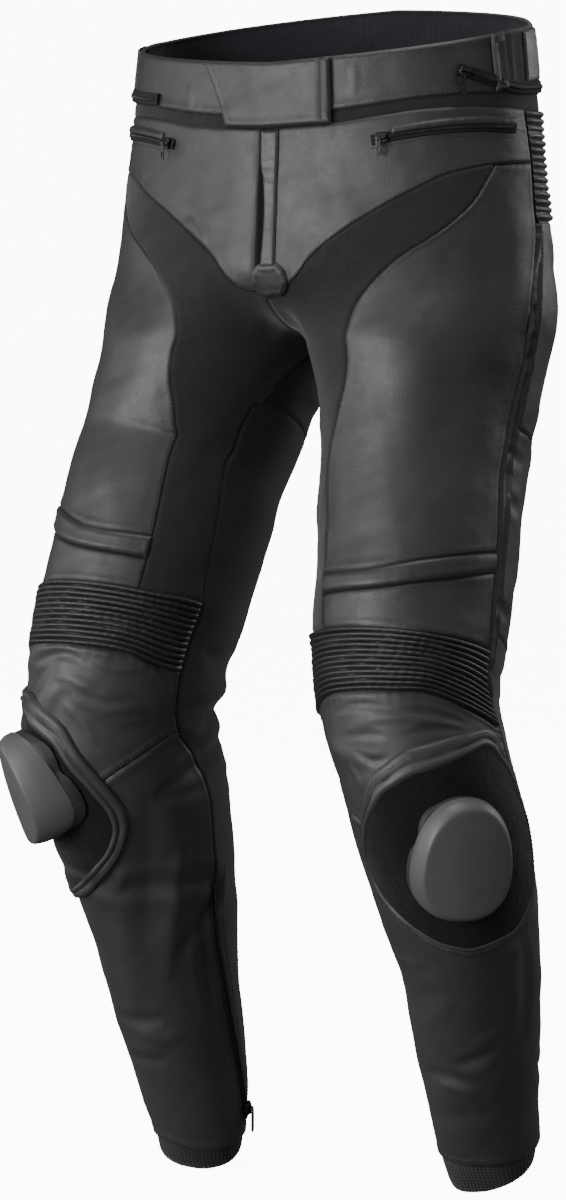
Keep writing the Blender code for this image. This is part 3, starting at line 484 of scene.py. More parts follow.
def lay(name, side, down, way, node, finishes, slot, thick=0.0018, lift=0.0, turn_in=0.0011, swell=0.00035,
        pucker=0.00016, shape=None, held="stretched", rests_on=()):
    """A sewn panel laid on the form at a grid of places. shape(over, under, u, v) adds height,
    where the first two are metres across and down from the panel's corner and the last shares."""
    sides, down, turn = laid(side, down, way)
    plain, outward = form(sides, down, turn), out_of(sides, down, turn)
    over, under = running(plain, 1), running(plain, 0)
    from_right, from_foot = over[:, -1:] - over, under[-1:] - under
    beside, above = np.minimum(over, from_right), np.minimum(under, from_foot)
    edge = np.minimum(beside, above)
    height = lift + relief(sides, plain)
    height = height - turn_in * np.clip(1 - edge / 0.0026, 0, 1) ** 2
    height = height + swell * hump(edge, 0.0042, 0.0022)
    waves = np.sin(2 * pi * over / 0.0092 + 2.1 * np.sin(over * 61)) * np.exp(-above / 0.007)
    waves += np.sin(2 * pi * under / 0.0087 + 1.9 * np.sin(under * 53)) * np.exp(-beside / 0.007)
    height = height + pucker * waves
    if shape:
        u, v = over / np.maximum(over[:, -1:], 1e-6), under / np.maximum(under[-1:], 1e-6)
        height = height + shape(over, under, u, v)
    drawn = plain.copy()  # each edge runs a hair past its seam, so no light falls through
    drawn[0] += unit(plain[1] - plain[0]) * -PAST_SEAM
    drawn[-1] += unit(plain[-2] - plain[-1]) * -PAST_SEAM
    drawn[:, 0] += unit(plain[:, 1] - plain[:, 0]) * -PAST_SEAM
    drawn[:, -1] += unit(plain[:, -2] - plain[:, -1]) * -PAST_SEAM
    points = drawn + outward * height[..., None]
    piece = cloth(name, points, thick, finishes, np.exp(-edge / 0.004), side >= 0)
    carried(piece, node)
    size = [max(NARROWEST_CUT, round(float(running(points, axis).max()), 3)) for axis in (1, 0)]
    first, second = points[1:, :-1] - points[:-1, :-1], points[:-1, 1:] - points[:-1, :-1]
    area = float(np.linalg.norm(np.cross(first, second), axis=2).sum())
    if area < 0.35 * size[0] * size[1]:  # a long curved cut: its width is that of the strip
        size[0] = max(NARROWEST_CUT, round(2 * area / size[1], 3))
    return {"piece": piece, "points": points, "out": outward}


def panel(name, side, seams, node, finishes, slot, fine=0.0032, **manner):
    """A sewn panel between its left, right, top and foot seams."""
    left, right, top, foot = seams
    coarse = np.linspace(0, 1, 15)
    fall, across = np.meshgrid(coarse, coarse, indexing="ij")
    rough = form(*laid(side, *spread(left, right, top, foot, across, fall)))
    wide, tall = lengths_of(rough, 1).sum(1), lengths_of(rough, 0).sum(0)
    rows = steps_over(np.array([tall.max()]), fine).shape[1]
    columns = steps_over(np.array([wide.max()]), fine).shape[1]
    wide_at = np.interp(np.linspace(0, 1, rows), coarse, wide)
    tall_at = np.interp(np.linspace(0, 1, columns), coarse, tall)
    wide_at[wide_at.argmax()] = wide.max()
    tall_at[tall_at.argmax()] = tall.max()
    across, fall = steps_over(wide_at, fine), steps_over(tall_at, fine).T
    down, way = spread(left, right, top, foot, across, fall)
    return lay(name, side, down, way, node, finishes, slot, **manner)


def line_in(laid_piece, edge, inset):
    """The line at a distance inside one edge of a laid panel: its points and directions out."""
    points, outward = laid_piece["points"], laid_piece["out"]
    if edge in ("top", "foot"):
        points, outward = points.transpose(1, 0, 2), outward.transpose(1, 0, 2)
    if edge in ("right", "foot"):
        points, outward = points[:, ::-1], outward[:, ::-1]
    line, aim = [], []
    for row, out_row in zip(points, outward):
        far = np.concatenate([[0], np.cumsum(np.linalg.norm(np.diff(row, axis=0), axis=1))])
        line.append([np.interp(inset, far, row[:, k]) for k in range(3)])
        aim.append([np.interp(inset, far, out_row[:, k]) for k in range(3)])
    return np.array(line), unit(np.array(aim))


def thinned(line, aim, pitch, trim=0.0):
    """Points a pitch apart along a line, with the direction along it and out of the cloth."""
    far = np.concatenate([[0], np.cumsum(np.linalg.norm(np.diff(line, axis=0), axis=1))])
    at = np.arange(trim + pitch / 2, far[-1] - trim, pitch)
    spots = np.stack([np.interp(at, far, line[:, k]) for k in range(3)], -1)
    ahead = np.stack([np.interp(at + pitch / 4, far, line[:, k]) for k in range(3)], -1)
    outward = unit(np.stack([np.interp(at, far, aim[:, k]) for k in range(3)], -1))
    along = ahead - spots
    along = unit(along - outward * (along * outward).sum(-1, keepdims=True))
    return spots, along, outward


def rows_of(name, pattern, spots, along, outward, lift, finish):
    """Copies of a small modelled pattern at each spot, its x along, its z out, as one mesh."""
    base = np.empty(len(pattern.data.vertices) * 3)
    pattern.data.vertices.foreach_get("co", base)
    base = base.reshape(-1, 3)
    faces = [tuple(face.vertices) for face in pattern.data.polygons]
    aside = np.cross(outward, along)
    turn = np.stack([along, aside, outward], 1)
    points = spots[:, None] + outward[:, None] * lift + np.einsum("vk,nkc->nvc", base, turn)
    mesh = bpy.data.meshes.new(name)
    every = [tuple(v + n * len(base) for v in face) for n in range(len(spots)) for face in faces]
    mesh.from_pydata(points.reshape(-1, 3).tolist(), [], every)
    mesh.materials.append(finish)
    mesh.shade_smooth()
    piece = bpy.data.objects.new(name, mesh)
    bpy.context.scene.collection.objects.link(piece)
    carried(piece)


# A stitch is a short bead of waxed thread, 2.6 mm long, that lies along its seam.
bpy.ops.object.select_all(action="DESELECT")
bpy.ops.mesh.primitive_uv_sphere_add(segments=6, ring_count=4, radius=1)
stitch = bpy.context.object
bpy.ops.object.mode_set(mode="EDIT")
bpy.ops.mesh.select_all(action="SELECT")
bpy.ops.transform.rotate(value=pi / 2, orient_axis="Y", center_override=(0, 0, 0))
bpy.ops.transform.resize(value=(0.00135, 0.00034, 0.00026), center_override=(0, 0, 0))
bpy.ops.object.mode_set(mode="OBJECT")
sewn, STITCH_PITCH = {}, 0.0034


def sew(group, laid_piece, edge, inset, trim=0.002):
    """A row of stitches inside one edge of a panel, kept until its group is made."""
    sewn.setdefault(group, []).append(thinned(*line_in(laid_piece, edge, inset), STITCH_PITCH, trim))


def sew_line(group, side, down, turn, lift=0.0):
    """A row of stitches through places on the form."""
    points, outward = form(side, down, turn), out_of(side, down, turn)
    line = points + outward * (relief(side, points) + lift)[..., None]
    sewn.setdefault(group, []).append(thinned(line, outward, STITCH_PITCH))


# ---------------------------------------------------------------- leather
# Full-grain cowhide, 1.2 to 1.4 mm, dyed black and finished satin: a fine pebbled grain, slow
# changes of gloss over the hide, and a little more wax and dye where an edge is turned in.
def new_finish(name, colour, roughness, **sockets):
    finish = bpy.data.materials.new(name)
    finish.use_nodes = True
    shader = finish.node_tree.nodes["Principled BSDF"]
    shader.inputs["Base Color"].default_value = (*colour, 1)
    shader.inputs["Roughness"].default_value = roughness
    for socket, value in sockets.items():
        shader.inputs[socket.replace("_", " ")].default_value = value
    return finish, finish.node_tree, shader


def add(tree, kind, links=(), **settings):
    """A node with its settings, and its inputs either linked or set by name."""
    made = tree.nodes.new("ShaderNode" + kind)
    for name, value in settings.items():
        setattr(made, name, value)
    for name, value in dict(links).items():
        if isinstance(value, bpy.types.NodeSocket):
            tree.links.new(value, made.inputs[name])
        else:
            made.inputs[name].default_value = value
    return made


def between_values(tree, value, low, high, start=0.3, end=0.7):
    ranges = {"From Min": start, "From Max": end, "To Min": low, "To Max": high}
    return add(tree, "MapRange", {"Value": value, **ranges}).outputs[0]


def noise(tree, scale, detail, roughness=0.5, place=None):
    """Cloudy noise over the piece."""
    if place is None:
        place = add(tree, "TexCoord").outputs["Object"]
    links = {"Vector": place, "Scale": scale, "Detail": detail, "Roughness": roughness}
    return add(tree, "TexNoise", links).outputs[0]


def wave(tree, scale, distortion, direction, detail=1.0, at="UV"):
    """Parallel waves across or down the cloth."""
    links = {"Vector": add(tree, "TexCoord").outputs[at], "Scale": scale, "Distortion": distortion}
    return add(tree, "TexWave", {**links, "Detail": detail}, bands_direction=direction).outputs["Fac"]


def combine(tree, operation, first, second, clamp=False):
    return add(tree, "Math", {0: first, 1: second}, operation=operation, use_clamp=clamp).outputs[0]


def two_colours(tree, shader, share, first, second):
    """The colour runs from the first to the second."""
    mix = add(tree, "Mix", data_type="RGBA")
    tree.links.new(share, mix.inputs[0])
    mix.inputs[6].default_value = (*first, 1)
    mix.inputs[7].default_value = (*second, 1)
    tree.links.new(mix.outputs[2], shader.inputs["Base Color"])


def bumps(tree, shader, *layers):
    """Bump layers, each (height socket, distance in metres, strength), one on another."""
    last = None
    for height, distance, strength in layers:
        bump = add(tree, "Bump", {"Height": height, "Distance": distance, "Strength": strength})
        if last:
            tree.links.new(last.outputs[0], bump.inputs["Normal"])
        last = bump
    tree.links.new(last.outputs[0], shader.inputs["Normal"])


def hide(name, dark, light, dull, bright, grain=0.35):
    """Leather between two colours and two roughnesses; grain is how strong its pebbling is."""
    finish, tree, shader = new_finish(name, dark, dull, Specular_IOR_Level=0.5)
    place = add(tree, "TexCoord").outputs["Object"]
    pebble, vein = (
        add(tree, "TexVoronoi", {"Vector": place, "Scale": scale, "Randomness": uneven},
            feature="DISTANCE_TO_EDGE").outputs[0]
        for scale, uneven in ((720.0, 0.9), (210.0, 1.0))
    )
    slow, close = noise(tree, 17.0, 5.0, 0.55), noise(tree, 130.0, 6.0, 0.6)
    edge = add(tree, "Attribute", attribute_name="seam").outputs["Fac"]
    tone = combine(tree, "SUBTRACT", between_values(tree, slow, 0.0, 1.0, 0.35, 0.7), edge, clamp=True)
    two_colours(tree, shader, tone, dark, light)
    over_hide = between_values(tree, slow, dull, bright, 0.35, 0.68)
    gloss = combine(tree, "ADD", over_hide, between_values(tree, close, -0.04, 0.04))
    tree.links.new(gloss, shader.inputs["Roughness"])
    bumps(
        tree, shader,
        (slow, 0.0012, 0.20),
        (close, 0.0005, 0.26),
        (between_values(tree, vein, 0.0, 1.0, 0.0, 0.08), 0.00018, grain * 0.6),
        (between_values(tree, pebble, 0.0, 1.0, 0.0, 0.12), 0.00012, grain),
    )
    return finish


front_leather = hide("satin black leather", (0.013, 0.013, 0.0131), (0.020, 0.020, 0.0201), 0.53, 0.47)
shin_leather = hide("satin black leather of the shins", (0.0215, 0.0207, 0.0187), (0.0310, 0.0298, 0.0271),
                    0.54, 0.48)
rib_leather = hide("shirred black leather", (0.0125, 0.0125, 0.0125), (0.0215, 0.0213, 0.0207), 0.46, 0.38,
                   0.5)
leather_back, tree, shader = new_finish("suede side of the leather", (0.010, 0.010, 0.011), 0.95)
fibres = noise(tree, 900.0, 3.0)
two_colours(tree, shader, fibres, (0.007, 0.007, 0.008), (0.014, 0.014, 0.015))
bumps(tree, shader, (fibres, 0.0004, 0.5))
# outer side and inner side of the cloth, and its slot
LEATHER = [front_leather, leather_back], "leather"
SHIN_LEATHER = [shin_leather, leather_back], "leather"
THIN_LEATHER = [rib_leather, leather_back], "leather"


# ---------------------------------------------------------------- stretch fabric
# Matt elastic cloth of aramid and elastane, woven in fine upright lines, without any shine. The
# same cloth, dyed blue black, lines the elastic band at the back.
WAVE_SCALE = 1 / 6.283  # of a wave texture, for lines one metre apart


def woven(name, dark, light, pitch, sheen=0.25, rough=0.88):
    finish, tree, shader = new_finish(name, dark, rough, Sheen_Weight=sheen, Sheen_Roughness=0.5,
                                      Specular_IOR_Level=0.28)
    lines = wave(tree, WAVE_SCALE / pitch, 0.6, "X")
    weft = wave(tree, 1.6 * WAVE_SCALE / pitch, 0.8, "Y")
    fuzz, slow = noise(tree, 340.0, 4.0), noise(tree, 22.0, 3.0)
    weave = combine(tree, "MULTIPLY", lines, weft)
    tone = combine(tree, "MULTIPLY", weave, between_values(tree, slow, 0.2, 1.0))
    two_colours(tree, shader, tone, dark, light)
    dullness = between_values(tree, fuzz, rough - 0.06, min(1.0, rough + 0.06))
    tree.links.new(dullness, shader.inputs["Roughness"])
    bumps(tree, shader, (slow, 0.0010, 0.25), (weave, 0.00012, 0.5), (fuzz, 0.00012, 0.35))
    return finish


stretch = woven("stretch fabric", (0.0068, 0.0068, 0.0070), (0.0165, 0.0165, 0.0168), 0.0011, 0.18)
STRETCH = [stretch, leather_back], "stretch_fabric"
lining = woven("waist lining", (0.0065, 0.0075, 0.010), (0.013, 0.0145, 0.019), 0.0014, 0.1)

thread, tree, shader = new_finish("waxed thread", (0.028, 0.028, 0.028), 0.5)
twist = wave(tree, 420.0, 2.0, "DIAGONAL", detail=2.0, at="Object")
two_colours(tree, shader, twist, (0.020, 0.020, 0.020), (0.050, 0.050, 0.050))
bumps(tree, shader, (twist, 0.00008, 0.4))


def finish_stitches(group):
    """Makes one mesh of a group's rows of stitches."""
    runs = sewn.pop(group)
    spots, along, outward = (np.concatenate([run[k] for run in runs]) for k in range(3))
    rows_of(f"stitches_{group}", stitch, spots, along, outward, 0.00012, thread)


# ---------------------------------------------------------------- waistband
# The band is 43 mm high: folded leather over a stiffener at the front, topstitched at both
# edges, and blue-black elastic cloth round the back, where it rises 56 mm. Its sewn side seams
# are covered by short leather loops.
BAND_TOP = [(-1.0, 0.0), (2.0, 0.0)]
BAND_FOOT = [(0.0, 0.043), (0.18, 0.043), (0.34, 0.040), (0.45, 0.044), (0.51, 0.048), (1.0, 0.048)]
BAND_END = 0.452
HALVES = {"left": 1, "right": -1}


def mirrored(rows):
    """A seam read at the way round through the centre back or front."""
    return lambda way: read(rows, 1, round_of(way)[1])


for name, side in HALVES.items():
    fold_seen(side, {1: [(352, 64), (354, 80), (352, 98)], -1: [(188, 84), (190, 96), (189, 112)]}[side],
              0.003, 0.0010)
    front_band = panel(
        f"front_band_{name}", side, (level(0), level(BAND_END), level(0), seam(BAND_FOOT)),
        f"waistband_front_{name}",
        *LEATHER, fine=0.0028, thick=0.0026, turn_in=0.0016, swell=0.0006, pucker=0.00022,
    )
    for edge in ("top", "foot"):
        sew("waistband", front_band, edge, 0.0034)
    strap = panel(
        f"band_loop_strap_{name}", side, (level(0.436), level(0.462), level(0.0004), level(0.0420)),
        f"band_loop_{name}",
        *LEATHER, fine=0.0016, thick=0.0016, lift=0.0030, turn_in=0.0016, swell=0.0009,
        shape=lambda over, under, u, v: 0.0012 * hump(u, 0.5, 0.36) - 0.0016 * hump(u, 0.5, 0.10),
    )
    for edge in ("left", "right"):
        sew("waistband", strap, edge, 0.0030)


def elastic(over, under, u, v):
    """Soft upright gathers of the elastic, strongest beside its ends."""
    ends = np.exp(-over / 0.05) + np.exp(-(over[:, -1:] - over) / 0.05)
    gathers = np.sin(2 * pi * over / 0.0062 + 1.5 * np.sin(over * 37))
    return (0.0004 + 0.0005 * ends) * gathers * np.sin(pi * v) ** 0.5


back_band = panel(
    "elastic_back_band", 0, (level(BAND_END), level(2 - BAND_END), level(0), mirrored(BAND_FOOT)),
    "waistband_back",
    [stretch, lining], "waist_fabric", fine=0.0030, thick=0.0022, turn_in=0.0014, shape=elastic,
)
sew("waistband", back_band, "top", 0.0032)
sew("waistband", back_band, "foot", 0.0040)
for name, side in HALVES.items():
    flap = panel(
        f"band_adjuster_flap_{name}", side, (level(0.503), level(0.560), level(0.003), level(0.040)), None,
        *THIN_LEATHER, fine=0.0022, thick=0.0014, lift=0.0026, turn_in=0.0010,
        rests_on=[back_band["piece"]],
    )
    for edge in ("left", "top", "foot"):
        sew("waistband", flap, edge, 0.0028)
finish_stitches("waistband")

# ---------------------------------------------------------------- under the band
# A strip of black stretch cloth joins the band to the yokes all the way round. It lies a little
# deeper than both, and gathers under the closing tab.
STRIP_FOOT = [(0.0, 0.053), (0.18, 0.052), (0.34, 0.048), (0.45, 0.053), (0.51, 0.057), (1.0, 0.057)]
for name, side in HALVES.items():
    panel(
        f"strip_under_band_{name}", side, (level(0.0), level(1.0), seam(BAND_FOOT), seam(STRIP_FOOT)),
        f"waist_strip_{name}",
        *STRETCH, fine=0.0034, thick=0.0012, lift=-0.0006, turn_in=0.0006, swell=0, pucker=0.0003,
    )

# ---------------------------------------------------------------- closing tab
# A wide leather tab of two layers round a stiffener closes the band. It is sewn to the left
# front under a raised doubled end, laps over the right front and hides its hook-and-loop there.
TAB_RIGHT_END = [(0.00, 0.172), (0.052, 0.105)]
TAB_LEFT_END, TAB_FOOT = 0.168, 0.053


def tab_ends(over, under, u, v):
    """The doubled end that the tab is sewn on by, and the soft sag between the two ends."""
    from_left_end = over[:, -1:] - over
    raised = 0.0016 * ease((0.0075 - from_left_end) / 0.0012) - 0.0009 * hump(from_left_end, 0.0092, 0.0011)
    return raised - 0.0006 * np.sin(pi * u) * np.sin(pi * v)


tab = panel(
    "closing_tab", 0, (lambda down: -read(TAB_RIGHT_END, 1, down), level(TAB_LEFT_END), level(0.0004),
                       level(TAB_FOOT)),
    "closure_tab", *LEATHER, fine=0.0026, thick=0.0030, lift=0.0040, turn_in=0.0022,
    swell=0.0005, pucker=0.00020, shape=tab_ends, rests_on=["front_band_left", "front_band_right"],
)
for edge, inset in (("top", 0.0040), ("foot", 0.0040), ("left", 0.0036), ("left", 0.0096),
                    ("right", 0.0030), ("right", 0.0062)):
    sew("closing_tab", tab, edge, inset)
finish_stitches("closing_tab")

# ---------------------------------------------------------------- front yokes
# Two leather yokes run from the band to the fork and down to the V of stretch cloth, with a
# hidden fastening between them. Their lower edges are turned in and topstitched.
FRONT_YOKE_FOOT = [
    (0.00, 0.178), (0.08, 0.171), (0.13, 0.153), (0.21, 0.129), (0.254, 0.117),
    (0.30, 0.106), (0.34, 0.097), (0.40, 0.091), (0.50, 0.090),
]
fold_seen(-1, [(190, 215), (197, 231), (206, 246)], 0.004, 0.0009)
fold_seen(-1, [(184, 208), (196, 220), (210, 236)], 0.004, -0.0009)
fold_seen(1, [(304, 262), (314, 256), (326, 248)], 0.004, -0.0009)


def beside_fly(ridged):
    """The yoke sinks a little beside the fly and swells further out. The right one's folded edge
    stands up there as a ridge."""

    def shape(over, under, u, v):
        ridge = 0.0024 * hump(over, 0.0036, 0.0016) - 0.0012 * hump(over, 0.0078, 0.0012)
        return ridged * ridge - 0.0010 * np.exp(-over / 0.012) * (1 - v) + 0.0006 * hump(over, 0.026, 0.014)

    return shape


for name, side in HALVES.items():
    yoke = panel(
        f"yoke_front_{name}", side, (level(0.0), level(0.50), seam(STRIP_FOOT), seam(FRONT_YOKE_FOOT)),
        f"front_yoke_{name}", *LEATHER,
        shape=beside_fly(side < 0),
    )
    sew("front", yoke, "foot", 0.0030, 0.006)

# ---------------------------------------------------------------- fly
# The hidden zip of the fly shows as a dark slit between two folded edges, partly as painted shade on its
# near-black tape. A strip of thin leather covers it from the left, and a small rounded leather tab
# closes its foot.
FLY_TOP, FLY_FOOT = 0.0545, 0.163
FLY_EDGE = [
    (0.0545, -0.0050), (0.0740, -0.0046), (0.0830, -0.0020), (0.0960, 0.0040), (0.1150, 0.0078),
    (0.1400, 0.0072), (0.163, 0.0030),
]
fly_cover = panel(
    "fly_cover", 1, (seam(FLY_EDGE), level(0.035), level(FLY_TOP), level(FLY_FOOT)), "fly_strip",
    *THIN_LEATHER,
    fine=0.0018, thick=0.0012, lift=0.0022, turn_in=0.0010, swell=0.0008,
    shape=lambda over, under, u, v: 0.0012 * hump(u, 0, 0.20) - 0.0007 * hump(u, 0.40, 0.12),
)
sew("front", fly_cover, "right", 0.0020)
# The fly's tape is coloured near black, far darker than the other zip tapes: painted shade for the deep
# slit.
fly_shade = woven("fly zip tape with painted shade", (0.0008, 0.0008, 0.0008), (0.0020, 0.0020, 0.0020), 0.0009, 0.0, 0.95)
panel(
    "fly_zip_tape", 0, (level(-0.0050), level(0.0090), level(FLY_TOP), level(FLY_FOOT)), "fly_zip",
    [fly_shade, fly_shade],
    "zip_tape", fine=0.0012, thick=0.0012, lift=0.0014, turn_in=0.0004, swell=0.0,
    shape=lambda over, under, u, v: -0.0012 * np.sin(pi * u),
)
# columns: down, way of the right end, way of the left end
FLY_TAB = [
    (0.1610, 0.000, 0.040), (0.1630, -0.010, 0.052), (0.1670, -0.018, 0.062), (0.1710, -0.021, 0.067),
    (0.1745, -0.018, 0.064), (0.1770, -0.009, 0.055), (0.1785, 0.002, 0.042),
]
foot_tab = panel(
    "fly_foot_tab", 0, (seam(FLY_TAB), lambda down: read(FLY_TAB, 2, down), level(0.1610), level(0.1785)),
    "fly_tab", *LEATHER, fine=0.0012, thick=0.0016, lift=0.0032, turn_in=0.0018, swell=0.0007,
    rests_on=["yoke_front_left", "yoke_front_right"],
)
for edge in ("left", "right", "foot"):
    sew("front", foot_tab, edge, 0.0018, 0.001)
finish_stitches("front")

# ---------------------------------------------------------------- zips
# Gunmetal zips: small pressed teeth on woven black tape, a cast slider, and a pressed pull that
# hangs free from a pin on the slider. One joins a jacket and runs round the back under the
# band, two close the arched hand pockets.
zip_tape = woven("zip tape", (0.006, 0.006, 0.0062), (0.015, 0.015, 0.0155), 0.0007, 0.0, 0.82)


def gunmetal(name, colour, roughness):
    finish, tree, shader = new_finish(name, colour, roughness, Metallic=0.92)
    worn, speckle = noise(tree, 420.0, 4.0), noise(tree, 1900.0, 2.0)
    two_colours(tree, shader, worn, colour, tuple(2.2 * c for c in colour))
    dullness = between_values(tree, worn, roughness - 0.08, roughness + 0.12)
    tree.links.new(dullness, shader.inputs["Roughness"])
    bumps(tree, shader, (worn, 0.0001, 0.3), (speckle, 0.00004, 0.3))
    return finish


metal = gunmetal("gunmetal", (0.020, 0.020, 0.021), 0.38)
WAIST_ZIP_LEFT = [
    (0.00, 0.375, 0.022), (0.05, 0.404, 0.028), (0.12, 0.467, 0.040), (0.20, 0.537, 0.044),
    (0.50, 1.000, 0.044),
]
WAIST_ZIP_RIGHT_END, WAIST_ZIP_DOWN = (0.290, 0.034), 0.044
POCKET_TURNS, POCKET_RUN, POCKET_DOWN, POCKET_ARCH = (0.240, 0.470), 0.23, 0.0675, 0.0045

# A tooth is a small block with rounded shoulders, half on each tape.
bpy.ops.mesh.primitive_cube_add(size=1)
tooth = bpy.context.object
bpy.ops.object.mode_set(mode="EDIT")
bpy.ops.transform.resize(value=(0.00078, 0.0030, 0.0011), center_override=(0, 0, 0))
bpy.ops.mesh.bevel(offset=0.00018, segments=1)
bpy.ops.object.mode_set(mode="OBJECT")


def zip_line(name, side, down, way, half_wide, node, lift, ends):
    """The tape and teeth of a zip through places on the form, half_wide in metres."""
    sides, down, turn = laid(side, down, way)
    plain, outward = form(sides, down, turn), out_of(sides, down, turn)
    middle = plain + outward * (relief(sides, plain) + lift)[..., None]
    along = unit(np.gradient(middle, axis=0))
    aside = np.cross(outward, along)
    shares = np.array([-1, -0.86, -0.5, -0.3, 0, 0.3, 0.5, 0.86, 1])
    heights = np.array([-0.0006, 0.0004, 0.0005, 0.0006, 0.0006, 0.0006, 0.0005, 0.0004, -0.0006])
    points = middle[:, None] + aside[:, None] * (shares * half_wide)[None, :, None]
    points = points + outward[:, None] * heights[None, :, None]
    tape = cloth(f"{name}_tape", points, 0.0010, [zip_tape, zip_tape], np.zeros(points.shape[:2]), True)
    carried(tape, node)
    length = float(running(middle[:, None], 0).max())
    spots, ahead, up = thinned(middle, outward, 0.00135, 0.001)
    keep = (np.arange(len(spots)) >= ends[0]) & (np.arange(len(spots)) < len(spots) - ends[1])
    rows_of(f"{name}_teeth", tooth, spots[keep], ahead[keep], up[keep], 0.0010, metal)
    return middle, outward


def spot_on(side, down, turn, lift=0.0):
    """A point on the cloth, or lift metres outside it, and the direction out of it there."""
    point = form(side, np.array([down]), np.array([turn]))
    outward = out_of(side, np.array([down]), np.array([turn]))
    raised = point + outward * (relief(side, point)[..., None] + lift)
    return Vector(raised[0]), Vector(outward[0])


def cast_slider(name, middle, ahead, outward, size, lift):
    """The slider's body: a waisted block with a bridge for the pull's pin, x along the zip."""
    bpy.ops.object.select_all(action="DESELECT")
    bpy.ops.mesh.primitive_cube_add(size=1)
    piece = bpy.context.object
    piece.name = piece.data.name = name
    bpy.ops.object.mode_set(mode="EDIT")
    bpy.ops.transform.resize(value=(size, size * 0.86, size * 0.26), center_override=(0, 0, 0))
    bpy.ops.mesh.subdivide(number_cuts=3)
    bpy.ops.object.mode_set(mode="OBJECT")
    for vert in piece.data.vertices:
        share = vert.co.x / size
        vert.co.y *= 1.0 - 0.30 * max(0.0, share + 0.1) - 0.18 * max(0.0, -share - 0.25)
        vert.co.z *= 1.0 - 0.25 * abs(share)
    bpy.ops.object.mode_set(mode="EDIT")
    bpy.ops.mesh.select_all(action="DESELECT")
    bpy.ops.mesh.select_mode(type="FACE")
    bpy.ops.object.mode_set(mode="OBJECT")
    for face in piece.data.polygons:
        face.select = face.normal.z > 0.7 and abs(face.center.y) < size * 0.16
    bpy.ops.object.mode_set(mode="EDIT")
    bpy.ops.mesh.extrude_region_move(TRANSFORM_OT_translate={"value": (0, 0, size * 0.16)})
    bpy.ops.transform.resize(value=(0.78, 0.7, 1), center_override=(0, 0, 0))
    bpy.ops.mesh.select_all(action="SELECT")
    bpy.ops.mesh.normals_make_consistent(inside=False)
    bpy.ops.object.mode_set(mode="OBJECT")
    apply(piece, "BEVEL", width=size * 0.035, segments=2, limit_method="ANGLE", angle_limit=radians(35))
    bpy.ops.object.shade_smooth_by_angle(angle=radians(40))
    ahead = (ahead - outward * ahead.dot(outward)).normalized()
    turn = Matrix((ahead, outward.cross(ahead), outward)).transposed().to_4x4()
    piece.data.transform(Matrix.Translation(middle + outward * lift) @ turn)
    piece.data.materials.append(metal)
    carried(piece)


PULL_SHEET, ABOVE_PIN, PIN_RADIUS = 0.0012, 0.0006, 0.00062


def pressed_pull(name, width, length, node, body):
    """A pull of sheet metal with an eye at its top and a long window, hanging from its hinge."""
    hinge = next(joint for joint in frame["joints"] if joint["child"] == body)
    pivot = Vector(hinge["pos_m"])
    outward = Vector((0, 0, 1)).cross(Vector(hinge["axis"])).normalized()
    bpy.ops.object.select_all(action="DESELECT")
    bpy.ops.mesh.primitive_grid_add(x_subdivisions=6, y_subdivisions=14, size=1)
    piece = bpy.context.object
    piece.name = piece.data.name = name
    bpy.ops.object.mode_set(mode="EDIT")
    bpy.ops.transform.resize(value=(width, length + ABOVE_PIN, 1), center_override=(0, 0, 0))
    bpy.ops.transform.translate(value=(0, (ABOVE_PIN - length) / 2, 0))
    bpy.ops.mesh.select_mode(type="FACE")
    bpy.ops.mesh.select_all(action="DESELECT")
    bpy.ops.object.mode_set(mode="OBJECT")
    for face in piece.data.polygons:
        share = -face.center.y / length
        face.select = abs(face.center.x) < width * 0.2 and (0.08 < share < 0.2 or 0.52 < share < 0.86)
    bpy.ops.object.mode_set(mode="EDIT")
    bpy.ops.mesh.delete(type="FACE")
    bpy.ops.object.mode_set(mode="OBJECT")
    for vert in piece.data.vertices:
        share = -vert.co.y / length
        vert.co.x *= 1.0 - 0.30 * max(0.0, 0.22 - share) / 0.22 - 0.34 * max(0.0, share - 0.86) / 0.14
    apply(piece, "SOLIDIFY", thickness=PULL_SHEET, offset=0)
    apply(piece, "BEVEL", width=0.00025, segments=2, limit_method="ANGLE", angle_limit=radians(40))
    bpy.ops.object.shade_smooth_by_angle(angle=radians(40))
    across = Vector((0, 0, 1)).cross(outward)
    turn = Matrix((across, Vector((0, 0, 1)), -outward)).transposed().to_4x4()
    piece.data.transform(Matrix.Translation(pivot) @ turn)
    piece.data.materials.append(metal)
    carried(piece, node, body)
    bpy.ops.object.select_all(action="DESELECT")
    bpy.ops.mesh.primitive_cylinder_add(vertices=12, radius=PIN_RADIUS, depth=width * 0.9)
    pin = bpy.context.object
    pin.name = pin.data.name = f"{name}_pin"
    bpy.ops.object.mode_set(mode="EDIT")
    bpy.ops.mesh.bevel(offset=0.00015, segments=1)
    bpy.ops.transform.rotate(value=pi / 2, orient_axis="Y", center_override=(0, 0, 0))
    bpy.ops.object.mode_set(mode="OBJECT")
    pin.data.transform(Matrix.Translation(pivot - outward * 0.0002 + Vector((0, 0, 0.0002))) @ turn)
    bpy.ops.object.shade_smooth_by_angle(angle=radians(40))
    pin.data.materials.append(metal)
    carried(pin)


def line_above(down, turn, raised):
    """The seam that runs that far above a line of places."""
    return lambda way: np.interp(way, turn, down - raised)


